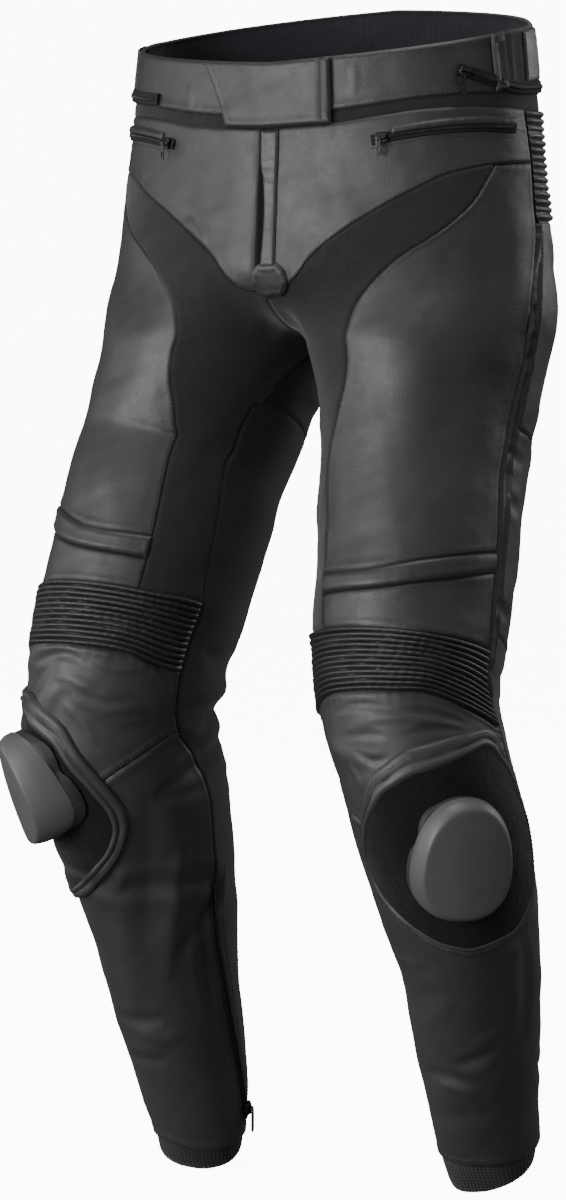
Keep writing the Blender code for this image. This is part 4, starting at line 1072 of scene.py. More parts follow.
share = np.concatenate([np.linspace(0, 0.5, 180), np.linspace(0.5, 1, 190)[1:]])
on_left = share <= 0.5
right_share, (right_turn, right_down) = 2 * share - 1, WAIST_ZIP_RIGHT_END
zip_down = np.where(
    on_left, read(WAIST_ZIP_LEFT, 2, share), WAIST_ZIP_DOWN + (right_down - WAIST_ZIP_DOWN) * right_share,
)
zip_way = np.where(on_left, read(WAIST_ZIP_LEFT, 1, share), 2 - (1 + (right_turn - 1) * right_share))
waist_middle, waist_out = zip_line("jacket_zip", 0, zip_down, zip_way, 0.0050, "waist_zip", 0.0024, (6, 2))
cast_slider(
    "jacket_zip_slider", Vector(waist_middle[7]), Vector(waist_middle[9] - waist_middle[5]),
    Vector(waist_out[7]), 0.0095, 0.0024,
)
pressed_pull("jacket_zip_pull", 0.0050, 0.018, "waist_zip_pull", "waist_pull")
for name, side in HALVES.items():
    share = np.linspace(0, 1, 70)
    down = POCKET_DOWN - POCKET_ARCH * np.sin(pi * share)
    turn = POCKET_TURNS[0] + (POCKET_TURNS[1] - POCKET_TURNS[0]) * share
    middle, outward = zip_line(f"hand_pocket_zip_{name}", side, down, turn, 0.0042, f"pocket_zip_{name}",
                               0.0014, (6, 2))
    cast_slider(
        f"hand_pocket_slider_{name}", Vector(middle[5]), Vector(middle[7] - middle[3]), Vector(outward[5]),
        0.0105, 0.0022,
    )
    pressed_pull(f"hand_pocket_pull_{name}", 0.0042, 0.014, f"pocket_pull_{name}",
                 f"pocket_pull_{name}_body")
    # The welt over the zip is a folded lip of leather, open at the slider.
    welt = panel(
        f"hand_pocket_welt_{name}", side,
        (level(POCKET_TURNS[0] + 0.032), level(POCKET_TURNS[1] + 0.004),
         line_above(down, turn, 0.0070), line_above(down, turn, 0.0004)), None,
        *LEATHER, fine=0.0012, thick=0.0012, lift=0.0030, turn_in=0.0022, swell=0.0006,
        held="folded", rests_on=[f"yoke_front_{name}"],
    )
    sew("pockets", welt, "top", 0.0012)
    at = np.linspace(POCKET_TURNS[1] + 0.004, 0.498, 20)
    sew_line("pockets", side, np.linspace(0.068, 0.071, 20), at, 0.0002)
    at = np.linspace(POCKET_TURNS[0] - 0.004, POCKET_TURNS[1], 60)
    arch = POCKET_ARCH * np.sin(pi * (at - POCKET_TURNS[0]) / POCKET_RUN)
    sew_line("pockets", side, POCKET_DOWN + 0.0062 - arch, at, 0.0002)
finish_stitches("pockets")

# ---------------------------------------------------------------- back yoke and seat
# Fifteen level ribs of shirred leather stretch over the small of the back. Under them
# the seat is two leather panels that reach round to the inside leg, seamed up the middle.
BACK_YOKE_FOOT = [(0.50, 0.128), (0.75, 0.130), (1.0, 0.124)]
SEAT_FOOT = [(0.45, 0.296), (0.60, 0.305), (0.75, 0.302), (0.90, 0.290), (1.04, 0.276), (1.08, 0.276)]
THIGH_EDGE = [
    (0.090, 0.429), (0.100, 0.412), (0.116, 0.385), (0.130, 0.352), (0.140, 0.325), (0.155, 0.280),
    (0.170, 0.246), (0.186, 0.227), (0.206, 0.221), (0.234, 0.212), (0.264, 0.188), (0.286, 0.168),
    (0.312, 0.150), (0.348, 0.125), (0.400, 0.116), (0.448, 0.115), (0.475, 0.114),
]
INSEAM = [
    (0.222, 0.000), (0.246, 0.030), (0.275, 0.058), (0.324, 0.052), (0.390, 0.028),
    (0.434, 0.022), (0.472, 0.012), (0.550, 0.006), (0.594, -0.024), (0.640, -0.042),
    (0.700, -0.034), (0.760, -0.014), (0.802, -0.030), (0.864, -0.046), (0.950, -0.088),
]
SIDE_FRONT = [
    (0.088, 0.500), (0.134, 0.498), (0.180, 0.483), (0.230, 0.471), (0.280, 0.453), (0.320, 0.442),
    (0.360, 0.435), (0.400, 0.438), (0.460, 0.446), (0.545, 0.482), (0.560, 0.490), (0.600, 0.520),
]
SIDE_BACK = [
    (0.088, 0.506), (0.134, 0.506), (0.180, 0.500), (0.230, 0.492), (0.280, 0.476), (0.340, 0.466),
    (0.400, 0.462), (0.460, 0.466), (0.510, 0.476), (0.560, 0.490), (0.600, 0.520), (0.700, 0.575),
    (0.800, 0.600), (0.950, 0.610),
]


def inside_leg(down):
    """The way round of the inside leg's seam, coming from behind; the centre back above the fork."""
    return 1.0 + read(INSEAM, 1, np.maximum(down, FORK))


def ribs(count, height, gather, spacing):
    """Rounded ribs across a panel, each gathered along its length by the elastic behind it."""

    def shape(over, under, u, v):
        rib = np.clip(v, 0, 1) * count
        number = np.minimum(np.floor(rib), count - 1)
        rounded = np.abs(np.sin(pi * np.clip(rib, 0, count))) ** 0.62
        start = 2.4 * number + 0.9 * np.sin(3.1 * number)
        gathers = np.sin(2 * pi * over / spacing + start + 1.7 * np.sin(over * 47 + number))
        uneven = 1 + 0.10 * np.sin(1.7 * number + over * 31) + gather * gathers
        ends = ease(np.minimum(u, 1 - u) / 0.02)
        return height * rounded * uneven * (0.35 + 0.65 * ends)

    return shape


def fine_rows(name, side, seams, node, finishes, slot, columns_fine, rows_each, count, **manner):
    """A ribbed panel: as many rows to each rib, so every rib is round."""
    left, right, top, foot = seams
    fall = np.linspace(0, 1, rows_each * count + 1)
    along = spread(left, right, top, foot, np.linspace(0, 1, 30)[None], np.full((1, 30), 0.5))
    columns = max(12, int(lengths_of(form(*laid(side, *along)), 1).sum() / columns_fine))
    fall, across = np.meshgrid(fall, np.linspace(0, 1, columns + 1), indexing="ij")
    down, way = spread(left, right, top, foot, across, fall)
    return lay(name, side, down, way, node, finishes, slot, **manner)


fine_rows(
    "ribbed_back_yoke", 0, (level(0.502), level(1.498), mirrored(STRIP_FOOT), mirrored(BACK_YOKE_FOOT)),
    "back_yoke", *THIN_LEATHER, 0.0032, 7, 15, thick=0.0012, turn_in=0.0008, swell=0, pucker=0,
    shape=ribs(15, 0.0030, 0.10, 0.0085), held="gathered",
)
for name, side in HALVES.items():
    fold(side, [(0.150, 0.60), (0.182, 0.70), (0.205, 0.80)], 0.011, 0.0018)
    fold(side, [(0.236, 0.98), (0.244, 0.90), (0.252, 0.78), (0.250, 0.68)], 0.007, -0.0034)
    fold(side, [(0.262, 0.97), (0.270, 0.88), (0.274, 0.76)], 0.008, 0.0022)
    fold(side, [(0.205, 0.97), (0.216, 0.90), (0.220, 0.82)], 0.007, -0.0020)
    fold(side, [(0.142, 0.53), (0.168, 0.56), (0.214, 0.57)], 0.008, -0.0014 if side > 0 else 0.0016)
    seat = panel(
        f"seat_panel_{name}", side, (seam(SIDE_BACK), inside_leg, seam(BACK_YOKE_FOOT), seam(SEAT_FOOT)),
        f"seat_{name}", *LEATHER, fine=0.0046,
    )
    sew("back", seat, "top", 0.0030)
    sew("back", seat, "left", 0.0034)
finish_stitches("back")

# ---------------------------------------------------------------- front stretch panels
# Matt stretch cloth from a point at the hip, under the yokes in a V, across the fork and down
# the inside leg to the knee ribs, so the wearer can lift the legs.
HIP_POINT_TURN, V_FOOT, V_TO_FORK, STRETCH_WIDTH = 0.4235, 0.178, 0.044, 0.085
RIB_TOP = [(0.00, 0.465), (0.03, 0.465), (0.10, 0.471), (0.20, 0.477), (0.30, 0.481), (0.48, 0.481)]
for name, side in HALVES.items():
    fold(side, [(0.186, 0.02), (0.205, 0.07), (0.230, 0.12)], 0.007, -0.0016)
    fold(side, [(0.200, 0.01), (0.226, 0.04), (0.262, 0.07)], 0.006, -0.0014)
    fold(side, [(0.300, 0.060), (0.345, 0.070), (0.392, 0.062)], 0.010, -0.0012)
    # Steps down the panel: 0 its point at the hip, 9 the foot of the fly, 13 the fork, 22 the knee ribs.
    step = np.concatenate([np.linspace(0, 9, 92), np.linspace(9, 13, 22)[1:], np.linspace(13, 22, 78)[1:]])
    hip_turn = HIP_POINT_TURN * np.clip(1 - step / 9, 0, 1)
    to_fork, down_leg = V_FOOT + V_TO_FORK * (step - 9) / 4, FORK + 0.027 * (step - 13)
    upper_down = np.where(step <= 9, read(FRONT_YOKE_FOOT, 1, hip_turn),
                          np.where(step <= 13, to_fork, down_leg))
    upper_turn = np.where(step <= 13, hip_turn, read(INSEAM, 1, np.maximum(upper_down, FORK)))
    lower_down = np.interp(step, (0, 9, 13, 22), (0.0925, 0.190, 0.262, float(read(RIB_TOP, 1, 0.114))))
    lower_turn = read(THIGH_EDGE, 1, lower_down)
    beside, between = BESIDE_SEAM / STRETCH_WIDTH, np.linspace(0.0659, 0.9341, 18)[1:-1]
    across = np.concatenate([beside, between, 1 - beside[::-1]])[None]
    down = upper_down[:, None] + (lower_down - upper_down)[:, None] * across
    way = upper_turn[:, None] + (lower_turn - upper_turn)[:, None] * across
    last = np.clip(step[:, None] - 21, 0, 1)
    down = down + (read(RIB_TOP, 1, np.maximum(way, 0)) - down) * last**2
    lay(
        f"stretch_front_{name}", side, down, way, f"front_stretch_{name}", *STRETCH,
        thick=0.0013, turn_in=0.0009, swell=0.0002, pucker=0.00022,
    )

# ---------------------------------------------------------------- thigh fronts
# One large smooth piece of satin leather covers each thigh from the hip to above the knee. It
# stands full over the leg and shows only a few slow swells.
ABOVE_KNEE = [(0.10, 0.427), (0.225, 0.430), (0.31, 0.420), (0.446, 0.399), (0.50, 0.392)]
TUCK_FOOT = [(0.10, 0.444), (0.246, 0.445), (0.34, 0.434), (0.446, 0.414), (0.50, 0.406)]
fold_seen(1, [(500, 196), (492, 260), (482, 330)], 0.012, -0.0012)
fold_seen(1, [(412, 290), (406, 350), (402, 420)], 0.026, 0.0012)
fold_seen(1, [(452, 380), (440, 440), (436, 500)], 0.020, -0.0010)
fold_seen(1, [(508, 430), (494, 470), (488, 520)], 0.010, 0.0012)
fold_seen(-1, [(112, 280), (104, 350), (92, 430)], 0.022, 0.0012)
fold_seen(-1, [(140, 400), (128, 450), (122, 500)], 0.014, -0.0008)
for name, side in HALVES.items():
    thigh = panel(
        f"thigh_panel_{name}", side, (seam(THIGH_EDGE), seam(SIDE_FRONT), level(0.0905), seam(ABOVE_KNEE)),
        f"thigh_front_{name}", *LEATHER, swell=0.0005,
    )
    sew(f"leg_{name}", thigh, "left", 0.0030)
    sew(f"leg_{name}", thigh, "foot", 0.0030)

# ---------------------------------------------------------------- over the knee
# Above the knee the leather is doubled into a narrow tuck between two sewn folds, and a smooth
# piece runs from there to the ribs.
for name, side in HALVES.items():
    tuck = panel(
        f"tuck_over_knee_{name}", side,
        (seam(THIGH_EDGE), seam(SIDE_FRONT), seam(ABOVE_KNEE), seam(TUCK_FOOT)), f"knee_tuck_{name}",
        *LEATHER, fine=0.0026, lift=0.0006, turn_in=0.0014, swell=0.0009,
        shape=lambda over, under, u, v: 0.0008 * np.sin(pi * v) + 0.0006 * np.sin(over * 23) * v,
        held="folded",
    )
    sew(f"leg_{name}", tuck, "foot", 0.0024)
    panel(
        f"panel_over_knee_{name}", side,
        (seam(THIGH_EDGE), seam(SIDE_FRONT), seam(TUCK_FOOT), seam(RIB_TOP)), f"knee_upper_{name}",
        *LEATHER, lift=-0.0004,
    )

# ---------------------------------------------------------------- knee ribs
# Twelve ribs of thin leather, shirred on elastic, let the knee bend. Every rib is a round tube
# of leather between two rows of shirring, finely gathered along its length.
RIB_FOOT = [
    (0.00, 0.518), (0.03, 0.518), (0.10, 0.513), (0.20, 0.514), (0.27, 0.517),
    (0.35, 0.522), (0.40, 0.533), (0.48, 0.556),
]
for name, side in HALVES.items():
    fine_rows(
        f"ribbed_knee_{name}", side, (seam(INSEAM), seam(SIDE_FRONT), seam(RIB_TOP), seam(RIB_FOOT)),
        f"knee_ribs_{name}",
        *THIN_LEATHER, 0.0021, 8, 12, thick=0.0012, turn_in=0.0008, swell=0, pucker=0,
        shape=ribs(12, 0.0031, 0.12, 0.0068), held="gathered",
    )

# ---------------------------------------------------------------- knee panels
# A shaped leather panel over the knee cap. It is the most worn in: short creases start at the
# ribs and run round the bent knee, and the seam under it slants up to the inside.
KNEE_FOOT = [
    (-0.02, 0.565), (0.00, 0.565), (0.08, 0.581), (0.13, 0.590), (0.20, 0.602), (0.35, 0.602),
    (0.50, 0.576),
]
KNEE_FOLDS = {
    1: [
        ([(334, 712), (362, 706), (398, 708)], 0.0029, -0.0014),
        ([(352, 722), (392, 716), (436, 720)], 0.0036, 0.0013),
        ([(392, 712), (430, 712), (466, 722)], 0.0029, -0.0014),
        ([(344, 738), (366, 734), (388, 738)], 0.0029, -0.0010),
        ([(398, 736), (430, 728), (462, 730)], 0.0029, -0.0012),
        ([(348, 764), (358, 778), (362, 792)], 0.0036, 0.0013),
        ([(356, 752), (372, 760), (392, 758)], 0.0029, -0.0011),
        ([(352, 806), (358, 830), (362, 850)], 0.0043, 0.0012),
        ([(440, 700), (470, 704), (492, 716)], 0.0029, 0.0012),
    ],
    -1: [
        ([(36, 648), (52, 640), (76, 644)], 0.0036, 0.0016),
        ([(34, 664), (60, 656), (90, 664)], 0.0036, -0.0020),
        ([(44, 676), (70, 678), (96, 690)], 0.0036, 0.0015),
        ([(80, 640), (110, 648), (140, 662)], 0.0036, -0.0014),
        ([(92, 662), (118, 668), (150, 672)], 0.0029, 0.0011),
        ([(72, 690), (104, 700), (140, 702)], 0.0043, -0.0010),
        ([(96, 712), (120, 722), (150, 720)], 0.0043, 0.0010),
        ([(60, 700), (84, 722), (98, 748)], 0.0036, 0.0012),
        ([(130, 652), (150, 660), (168, 676)], 0.0036, -0.0012),
    ],
}
for name, side in HALVES.items():
    for spots, width, height in KNEE_FOLDS[side]:
        fold_seen(side, spots, width, height)
    knee = panel(
        f"panel_on_knee_{name}", side, (seam(INSEAM), seam(SIDE_FRONT), seam(RIB_FOOT), seam(KNEE_FOOT)),
        f"knee_panel_{name}", *SHIN_LEATHER, fine=0.0026, swell=0.0006, pucker=0.0003,
    )
    sew(f"leg_{name}", knee, "foot", 0.0028)
    sew(f"leg_{name}", knee, "top", 0.0028)

# ---------------------------------------------------------------- shins
# The shin is one leather panel that wraps from the inside leg to the outer calf. Slow upright
# folds hang from the knee, and short ones cross where the calf narrows to the ankle.
HEM = [(-0.10, 0.943), (0.05, 0.944), (0.28, 0.935), (0.42, 0.941), (0.75, 0.944), (0.90, 0.943)]
SHIN_FOLDS = {
    1: [
        ([(396, 958), (408, 962), (424, 966)], 0.006, 0.0019),
        ([(402, 1006), (420, 998), (440, 990)], 0.010, -0.0016),
        ([(450, 1066), (474, 1062), (496, 1050)], 0.006, -0.0022),
        ([(424, 1070), (450, 1076), (474, 1088)], 0.006, -0.0021),
        ([(440, 1084), (462, 1090), (478, 1100)], 0.007, 0.0019),
        ([(470, 1046), (488, 1040), (500, 1028)], 0.006, 0.0016),
        ([(520, 930), (526, 980), (522, 1040)], 0.007, -0.0019),
        ([(505, 960), (510, 1000), (505, 1050)], 0.009, 0.0016),
        ([(430, 1110), (460, 1116), (500, 1108)], 0.010, -0.0016),
        ([(500, 950), (515, 938), (528, 920)], 0.005, -0.0022),
        ([(376, 900), (388, 924), (398, 948)], 0.007, 0.0016),
    ],
    -1: [
        ([(182, 830), (176, 900), (166, 990)], 0.010, 0.0032),
        ([(196, 800), (190, 880), (176, 960)], 0.008, -0.0029),
        ([(148, 790), (150, 870), (146, 960)], 0.012, -0.0022),
        ([(122, 900), (128, 960), (134, 1010)], 0.012, 0.0019),
        ([(118, 1014), (140, 1020), (166, 1018)], 0.006, -0.0019),
        ([(134, 1034), (160, 1038), (190, 1034)], 0.007, 0.0016),
        ([(130, 1052), (146, 1058), (168, 1060)], 0.006, -0.0016),
        ([(200, 900), (206, 960), (214, 1020)], 0.006, -0.0022),
        ([(168, 776), (190, 772), (206, 790)], 0.006, -0.0019),
        ([(108, 880), (118, 886), (124, 870)], 0.006, 0.0022),
    ],
}
for name, side in HALVES.items():
    for spots, width, height in SHIN_FOLDS[side]:
        fold_seen(side, spots, width, height)
    fold(side, [(0.680, 0.50), (0.730, 0.53), (0.790, 0.54)], 0.012, -0.0018)
    fold(side, [(0.850, 0.46), (0.860, 0.54), (0.850, 0.60)], 0.007, -0.0016)
    shin = panel(
        f"shin_panel_{name}", side, (seam(INSEAM), seam(SIDE_BACK), seam(KNEE_FOOT), seam(HEM)),
        f"shin_{name}", *SHIN_LEATHER, swell=0.0005,
    )
    sew(f"leg_{name}", shin, "foot", 0.0085)
    sew(f"leg_{name}", shin, "foot", 0.0110)
    sew(f"leg_{name}", shin, "right", 0.0034)

# ---------------------------------------------------------------- side strips
# A narrow strip of leather, piped along both edges, runs down the outer side from the back yoke
# to the knee and covers the outer seam. It wrinkles where the leg bends.
fold_seen(1, [(528, 226), (534, 230), (541, 232)], 0.003, -0.0022)
fold_seen(1, [(528, 304), (534, 310), (541, 314)], 0.004, -0.0018)
fold_seen(1, [(526, 322), (532, 328), (538, 330)], 0.004, 0.0016)
fold_seen(1, [(516, 420), (522, 428), (530, 432)], 0.004, -0.0016)
fold_seen(1, [(506, 505), (514, 510), (520, 512)], 0.005, -0.0018)
for name, side in HALVES.items():
    for bend in (0.232, 0.318, 0.352, 0.437, 0.492):
        fold(side, [(bend, 0.455), (bend + 0.006, 0.475), (bend + 0.002, 0.515)], 0.005, -0.0016)
    panel(
        f"side_piping_strip_{name}", side, (seam(SIDE_FRONT), seam(SIDE_BACK), level(0.131), level(0.545)),
        f"side_strip_{name}",
        *LEATHER, fine=0.0022, thick=0.0016, lift=0.0004, turn_in=0.0016, swell=0.0, pucker=0.0002,
        shape=lambda over, under, u, v: 0.0022 * hump(over, 0.0030, 0.0016)
        + 0.0022 * hump(over[:, -1:] - over, 0.0030, 0.0016) - 0.0010 * np.sin(pi * u),
    )

# ---------------------------------------------------------------- slider patches
# A shield of black loop pile on the outside of the knee holds the slider. A padded leather rim
# with a piped inner edge frames it, and its outer edge is turned in and sewn down.
PATCH_LIFT, PATCH_THICK, PATCH_MIDDLE = 0.0030, 0.0022, 0.615
PATCH_STRETCH, PATCH_POINTS = {1: 1.0, -1: 1.12}, 150
TURN_METRES = 0.47  # a whole turn round the knee
RIM_STITCH_INSET, PILE_INSET = 0.0024, 0.0084
# columns: down, inner turn, outer turn
PATCH_EDGE = [
    (0.552, 0.270, 0.440), (0.562, 0.196, 0.470), (0.590, 0.142, 0.490), (0.612, 0.120, 0.498),
    (0.630, 0.120, 0.500), (0.650, 0.144, 0.494), (0.668, 0.190, 0.478), (0.684, 0.240, 0.450),
    (0.695, 0.300, 0.402),
]
# columns of the rim: metres in from the edge at its narrowest, height over the leg
RIM = [
    (0.0000, 0.0004), (0.0004, 0.0022), (0.0010, 0.0034), (0.0020, 0.0041), (0.0032, 0.0043),
    (0.0044, 0.0041), (0.0052, 0.0036), (0.0058, 0.0044), (0.0065, 0.0053), (0.0073, 0.0056),
    (0.0081, 0.0052), (0.0088, 0.0044),
]
pile, tree, shader = new_finish("loop pile", (0.0040, 0.0040, 0.0042), 0.97, Sheen_Weight=0.12,
                                Specular_IOR_Level=0.15)
place = add(tree, "TexCoord").outputs["Object"]
loops = add(tree, "TexVoronoi", {"Vector": place, "Scale": 950.0, "Randomness": 1.0})
tufts = noise(tree, 210.0, 5.0, 0.7)
two_colours(tree, shader, tufts, (0.0022, 0.0022, 0.0023), (0.0075, 0.0075, 0.0078))
bumps(tree, shader, (tufts, 0.0008, 0.6), (loops.outputs["Distance"], 0.0004, 0.7))


def patch_outline(side, count):
    """The shield's outline as places, evenly round, from its inner edge at the top."""
    rows = [
        (PATCH_MIDDLE + (down - PATCH_MIDDLE) * PATCH_STRETCH[side], inner, outer)
        for down, inner, outer in PATCH_EDGE
    ]
    down = [row[0] for row in rows] + [row[0] for row in rows[::-1]]
    turn = [row[1] for row in rows] + [row[2] for row in rows[::-1]]
    closed = np.array(list(zip(down, turn)) + [(down[0], turn[0])])
    metric = closed * (1.0, TURN_METRES)
    far = np.concatenate([[0], np.cumsum(np.linalg.norm(np.diff(metric, axis=0), axis=1))])
    at = np.linspace(0, far[-1], count, endpoint=False)
    corners = np.stack([np.interp(at, far, closed[:, k]) for k in range(2)], -1)
    for _ in range(5):
        corners = 0.5 * corners + 0.25 * (np.roll(corners, 1, 0) + np.roll(corners, -1, 0))
    return corners


def on_patch(side, places, lift):
    down, turn = places[..., 0], places[..., 1]
    points, outward = form(side, down, turn), out_of(side, down, turn)
    return points + outward * (relief(side, points) + lift)[..., None], outward


for name, side in HALVES.items():
    outline = patch_outline(side, PATCH_POINTS)
    middle = np.array((PATCH_MIDDLE + 0.008, 0.315))
    reach = np.linalg.norm((outline - middle) * (1.0, TURN_METRES), axis=1)
    # The rim is wider over the top of the left patch and along the inner side of the right one.
    if side > 0:
        broad = 0.92 + 0.75 * ease((0.590 - outline[:, 0]) / 0.030)
    else:
        broad = 0.92 + 0.66 * ease((0.330 - outline[:, 1]) / 0.100)
    rim_points = []
    for inwards, high in RIM:
        places = middle + (outline - middle) * (1 - inwards * broad / reach)[:, None]
        number = np.arange(PATCH_POINTS)
        ripples = 0.00022 * np.sin(number * 0.9 + 2 * np.sin(number * 0.21))
        rim_points.append(on_patch(side, places, high + ripples * (inwards < 0.005))[0])
    rim_points = np.array(rim_points)
    rim_points = np.concatenate([rim_points, rim_points[:, :1]], axis=1)
    near = np.exp(-np.array([row[0] for row in RIM]) / 0.0015)[:, None] * np.ones(PATCH_POINTS + 1)
    rim = cloth(f"slider_patch_rim_{name}", rim_points, 0.0012, [shin_leather, leather_back], near,
                side < 0)
    sewn_shut(rim)
    carried(rim)
    places = middle + (outline - middle) * (1 - RIM_STITCH_INSET * broad / reach)[:, None]
    edge_line, edge_out = on_patch(side, places, 0.0042)
    sewn.setdefault(f"leg_{name}", []).append(thinned(edge_line, edge_out, STITCH_PITCH))
    # The pile field inside the rim, its loops standing unevenly.
    tufts_at = np.random.default_rng(21 + side)
    shares = np.concatenate([[1.0, 0.985, 0.96], np.linspace(0.93, 0.03, 46)])
    field = []
    for k, part in enumerate(shares):
        places = middle + (outline - middle) * ((1 - PILE_INSET * broad / reach) * part)[:, None]
        loose = 0.0 if k == 0 else 0.00035
        field.append(on_patch(side, places, 0.0044 + loose * tufts_at.uniform(-1, 1, PATCH_POINTS))[0])
    field = np.array(field)
    field = np.concatenate([field, field[:, :1]], axis=1)
    loop_field = cloth(f"slider_patch_pile_{name}", field, 0.0012, [pile, pile], np.zeros(field.shape[:2]),
                       side < 0)
    sewn_shut(loop_field)
    carried(loop_field, f"slider_patch_{name}")
    finish_stitches(f"leg_{name}")

# ---------------------------------------------------------------- knee sliders
# Each slider is one hard moulding of matt black plastic, egg shaped and chamfered all round,
# with a shallow dished face. A softer base plate with hook tape on its back holds it to the pile.
PUCK_DOWN, PUCK_TURN = {1: 0.621, -1: 0.593}, {1: 0.3135, -1: 0.274}
PUCK_LEAN, PUCK_TILT = {1: radians(-20), -1: radians(-10)}, {1: radians(3), -1: radians(30)}
PUCK_HALF_LONG, PUCK_HALF_WIDE, PUCK_SQUARE, PUCK_EGG = 0.0480, 0.0390, 2.3, 0.11
PUCK_POINTS, PLATE_SHARE = 84, 0.99
PUCK_BASE = PATCH_LIFT + PATCH_THICK + 0.0010


def moulded(name, dark, light, rough, scratches):
    finish, tree, shader = new_finish(name, dark, rough, Specular_IOR_Level=0.5)
    place = add(tree, "TexCoord").outputs["Object"]
    spark, cloud = noise(tree, 1500.0, 3.0), noise(tree, 38.0, 4.0)
    drawn_out = add(tree, "Mapping", {"Vector": place, "Rotation": (0.4, 0.7, 0.3), "Scale": (60, 900, 60)})
    scratch = noise(tree, 1.0, 2.0, place=drawn_out.outputs[0])
    two_colours(tree, shader, cloud, dark, light)
    tree.links.new(between_values(tree, cloud, rough - 0.05, rough + 0.06), shader.inputs["Roughness"])
    bumps(tree, shader, (cloud, 0.0006, 0.10), (scratch, 0.00006, scratches), (spark, 0.00008, 0.35))
    return finish


plastic = moulded("slider plastic", (0.054, 0.054, 0.0535), (0.068, 0.068, 0.0675), 0.50, 0.25)
base_plastic = moulded("base plate plastic", (0.008, 0.008, 0.0082), (0.013, 0.013, 0.0132), 0.62, 0.1)


def stacked(name, sides, outline, levels):
    """A plan outline raised through levels (share, height), as one closed moulding."""
    bpy.ops.object.select_all(action="DESELECT")
    bpy.ops.mesh.primitive_circle_add(vertices=sides, radius=1, fill_type="NGON")
    piece = bpy.context.object
    piece.name = piece.data.name = name
    for k, vert in enumerate(piece.data.vertices):
        vert.co.x, vert.co.y = outline(2 * pi * k / sides)
    bpy.ops.object.mode_set(mode="EDIT")
    bpy.ops.mesh.select_mode(type="FACE")
    bpy.ops.mesh.select_all(action="SELECT")
    bpy.ops.transform.resize(value=(levels[0][0], levels[0][0], 1), center_override=(0, 0, 0))
    bpy.ops.transform.translate(value=(0, 0, levels[0][1]))
    for (share, high), (next_share, next_high) in zip(levels, levels[1:]):
        bpy.ops.mesh.extrude_region_move(TRANSFORM_OT_translate={"value": (0, 0, next_high - high)})
        scale = next_share / share
        bpy.ops.transform.resize(value=(scale, scale, 1), center_override=(0, 0, 0))
    bpy.ops.mesh.poke()
    bpy.ops.object.mode_set(mode="OBJECT")
    return piece


def puck_plan(angle):
    """The slider's outline: narrower towards its upper end."""
    wide = PUCK_HALF_WIDE * float(squared(cos(angle), PUCK_SQUARE))
    long = PUCK_HALF_LONG * float(squared(sin(angle), PUCK_SQUARE))
    return wide * (1 + PUCK_EGG * long / PUCK_HALF_LONG), long


def plate_plan(angle):
    """The base plate: a little larger at the lower end, with a finger notch beside a lobe."""
    wide, long = puck_plan(angle)
    notch = 1 - 0.10 * hump(angle, radians(196), 0.15)
    lobe = 1 + 0.07 * hump(angle, radians(62), 0.30) + 0.05 * hump(angle, radians(222), 0.22)
    return wide * notch * lobe * PLATE_SHARE, long * notch * lobe * PLATE_SHARE


PUCK_LEVELS = [
    (0.50, 0.0070), (0.935, 0.0070), (0.985, 0.0075), (1.0, 0.0086), (1.0, 0.0112), (1.0, 0.0138),
    (0.997, 0.0151), (0.988, 0.0164), (0.974, 0.0178), (0.957, 0.0191), (0.940, 0.0202),
    (0.924, 0.0210), (0.908, 0.0215), (0.890, 0.0218), (0.868, 0.0220), (0.820, 0.0221),
    (0.700, 0.0223), (0.500, 0.0226), (0.300, 0.0228), (0.100, 0.0229),
]
PLATE_LEVELS = [
    (0.5, 0.0), (0.93, 0.0), (0.97, 0.0005), (0.985, 0.0014), (0.985, 0.0064), (0.975, 0.0072),
    (0.93, 0.0075), (0.5, 0.0075),
]
for name, side in HALVES.items():
    down0, turn0 = PUCK_DOWN[side], PUCK_TURN[side]
    centre, outward = spot_on(side, down0, turn0, PUCK_BASE)
    below, above = (spot_on(side, down0 + step, turn0)[0] for step in (DOWN_STEP, -DOWN_STEP))
    further, nearer = (spot_on(side, down0, turn0 + step)[0] for step in (TURN_STEP, -TURN_STEP))
    run, turn_run = (below - above) / (2 * DOWN_STEP), (further - nearer).length / (2 * TURN_STEP)
    along = (run - outward * run.dot(outward)).normalized()
    across = outward.cross(along) * side
    lean, tilt = PUCK_LEAN[side], PUCK_TILT[side]
    outward, across = outward * cos(tilt) + across * sin(tilt), across * cos(tilt) - outward * sin(tilt)
    for piece_name, plan, levels, finish in (
        (f"slider_base_plate_{name}", plate_plan, PLATE_LEVELS, base_plastic),
        (f"slider_shell_{name}", puck_plan, PUCK_LEVELS, plastic),
    ):
        piece = stacked(piece_name, PUCK_POINTS, plan, levels)
        flat = np.array([vert.co[:] for vert in piece.data.vertices])
        fall = flat[:, 1] * cos(lean) - flat[:, 0] * sin(lean)
        aside = flat[:, 0] * cos(lean) + flat[:, 1] * sin(lean)
        down, turn = down0 + fall / run.length, turn0 + aside / turn_run
        plain, out = form(side, down, turn), out_of(side, down, turn)
        skin = plain + out * (relief(side, plain) * 0.3 + PUCK_BASE)[:, None]
        level_top = np.array(centre) + np.outer(fall, along) + np.outer(aside, across)
        share = np.interp(flat[:, 2], (0.0035, 0.0142, 0.0198, 0.0218), (0.0, 0.3, 0.5, 0.6))[:, None]
        bent = skin * (1 - share) + level_top * share + np.outer(flat[:, 2], outward)
        piece.data.vertices.foreach_set("co", bent.astype(np.float32).ravel())
        piece.data.update()
        only(piece)
        on_all(bpy.ops.mesh.normals_make_consistent, inside=False)
        bpy.ops.object.shade_smooth_by_angle(angle=radians(32))
        piece.data.materials.append(finish)
        carried(piece, f"knee_slider_{name}" if finish == plastic else None)

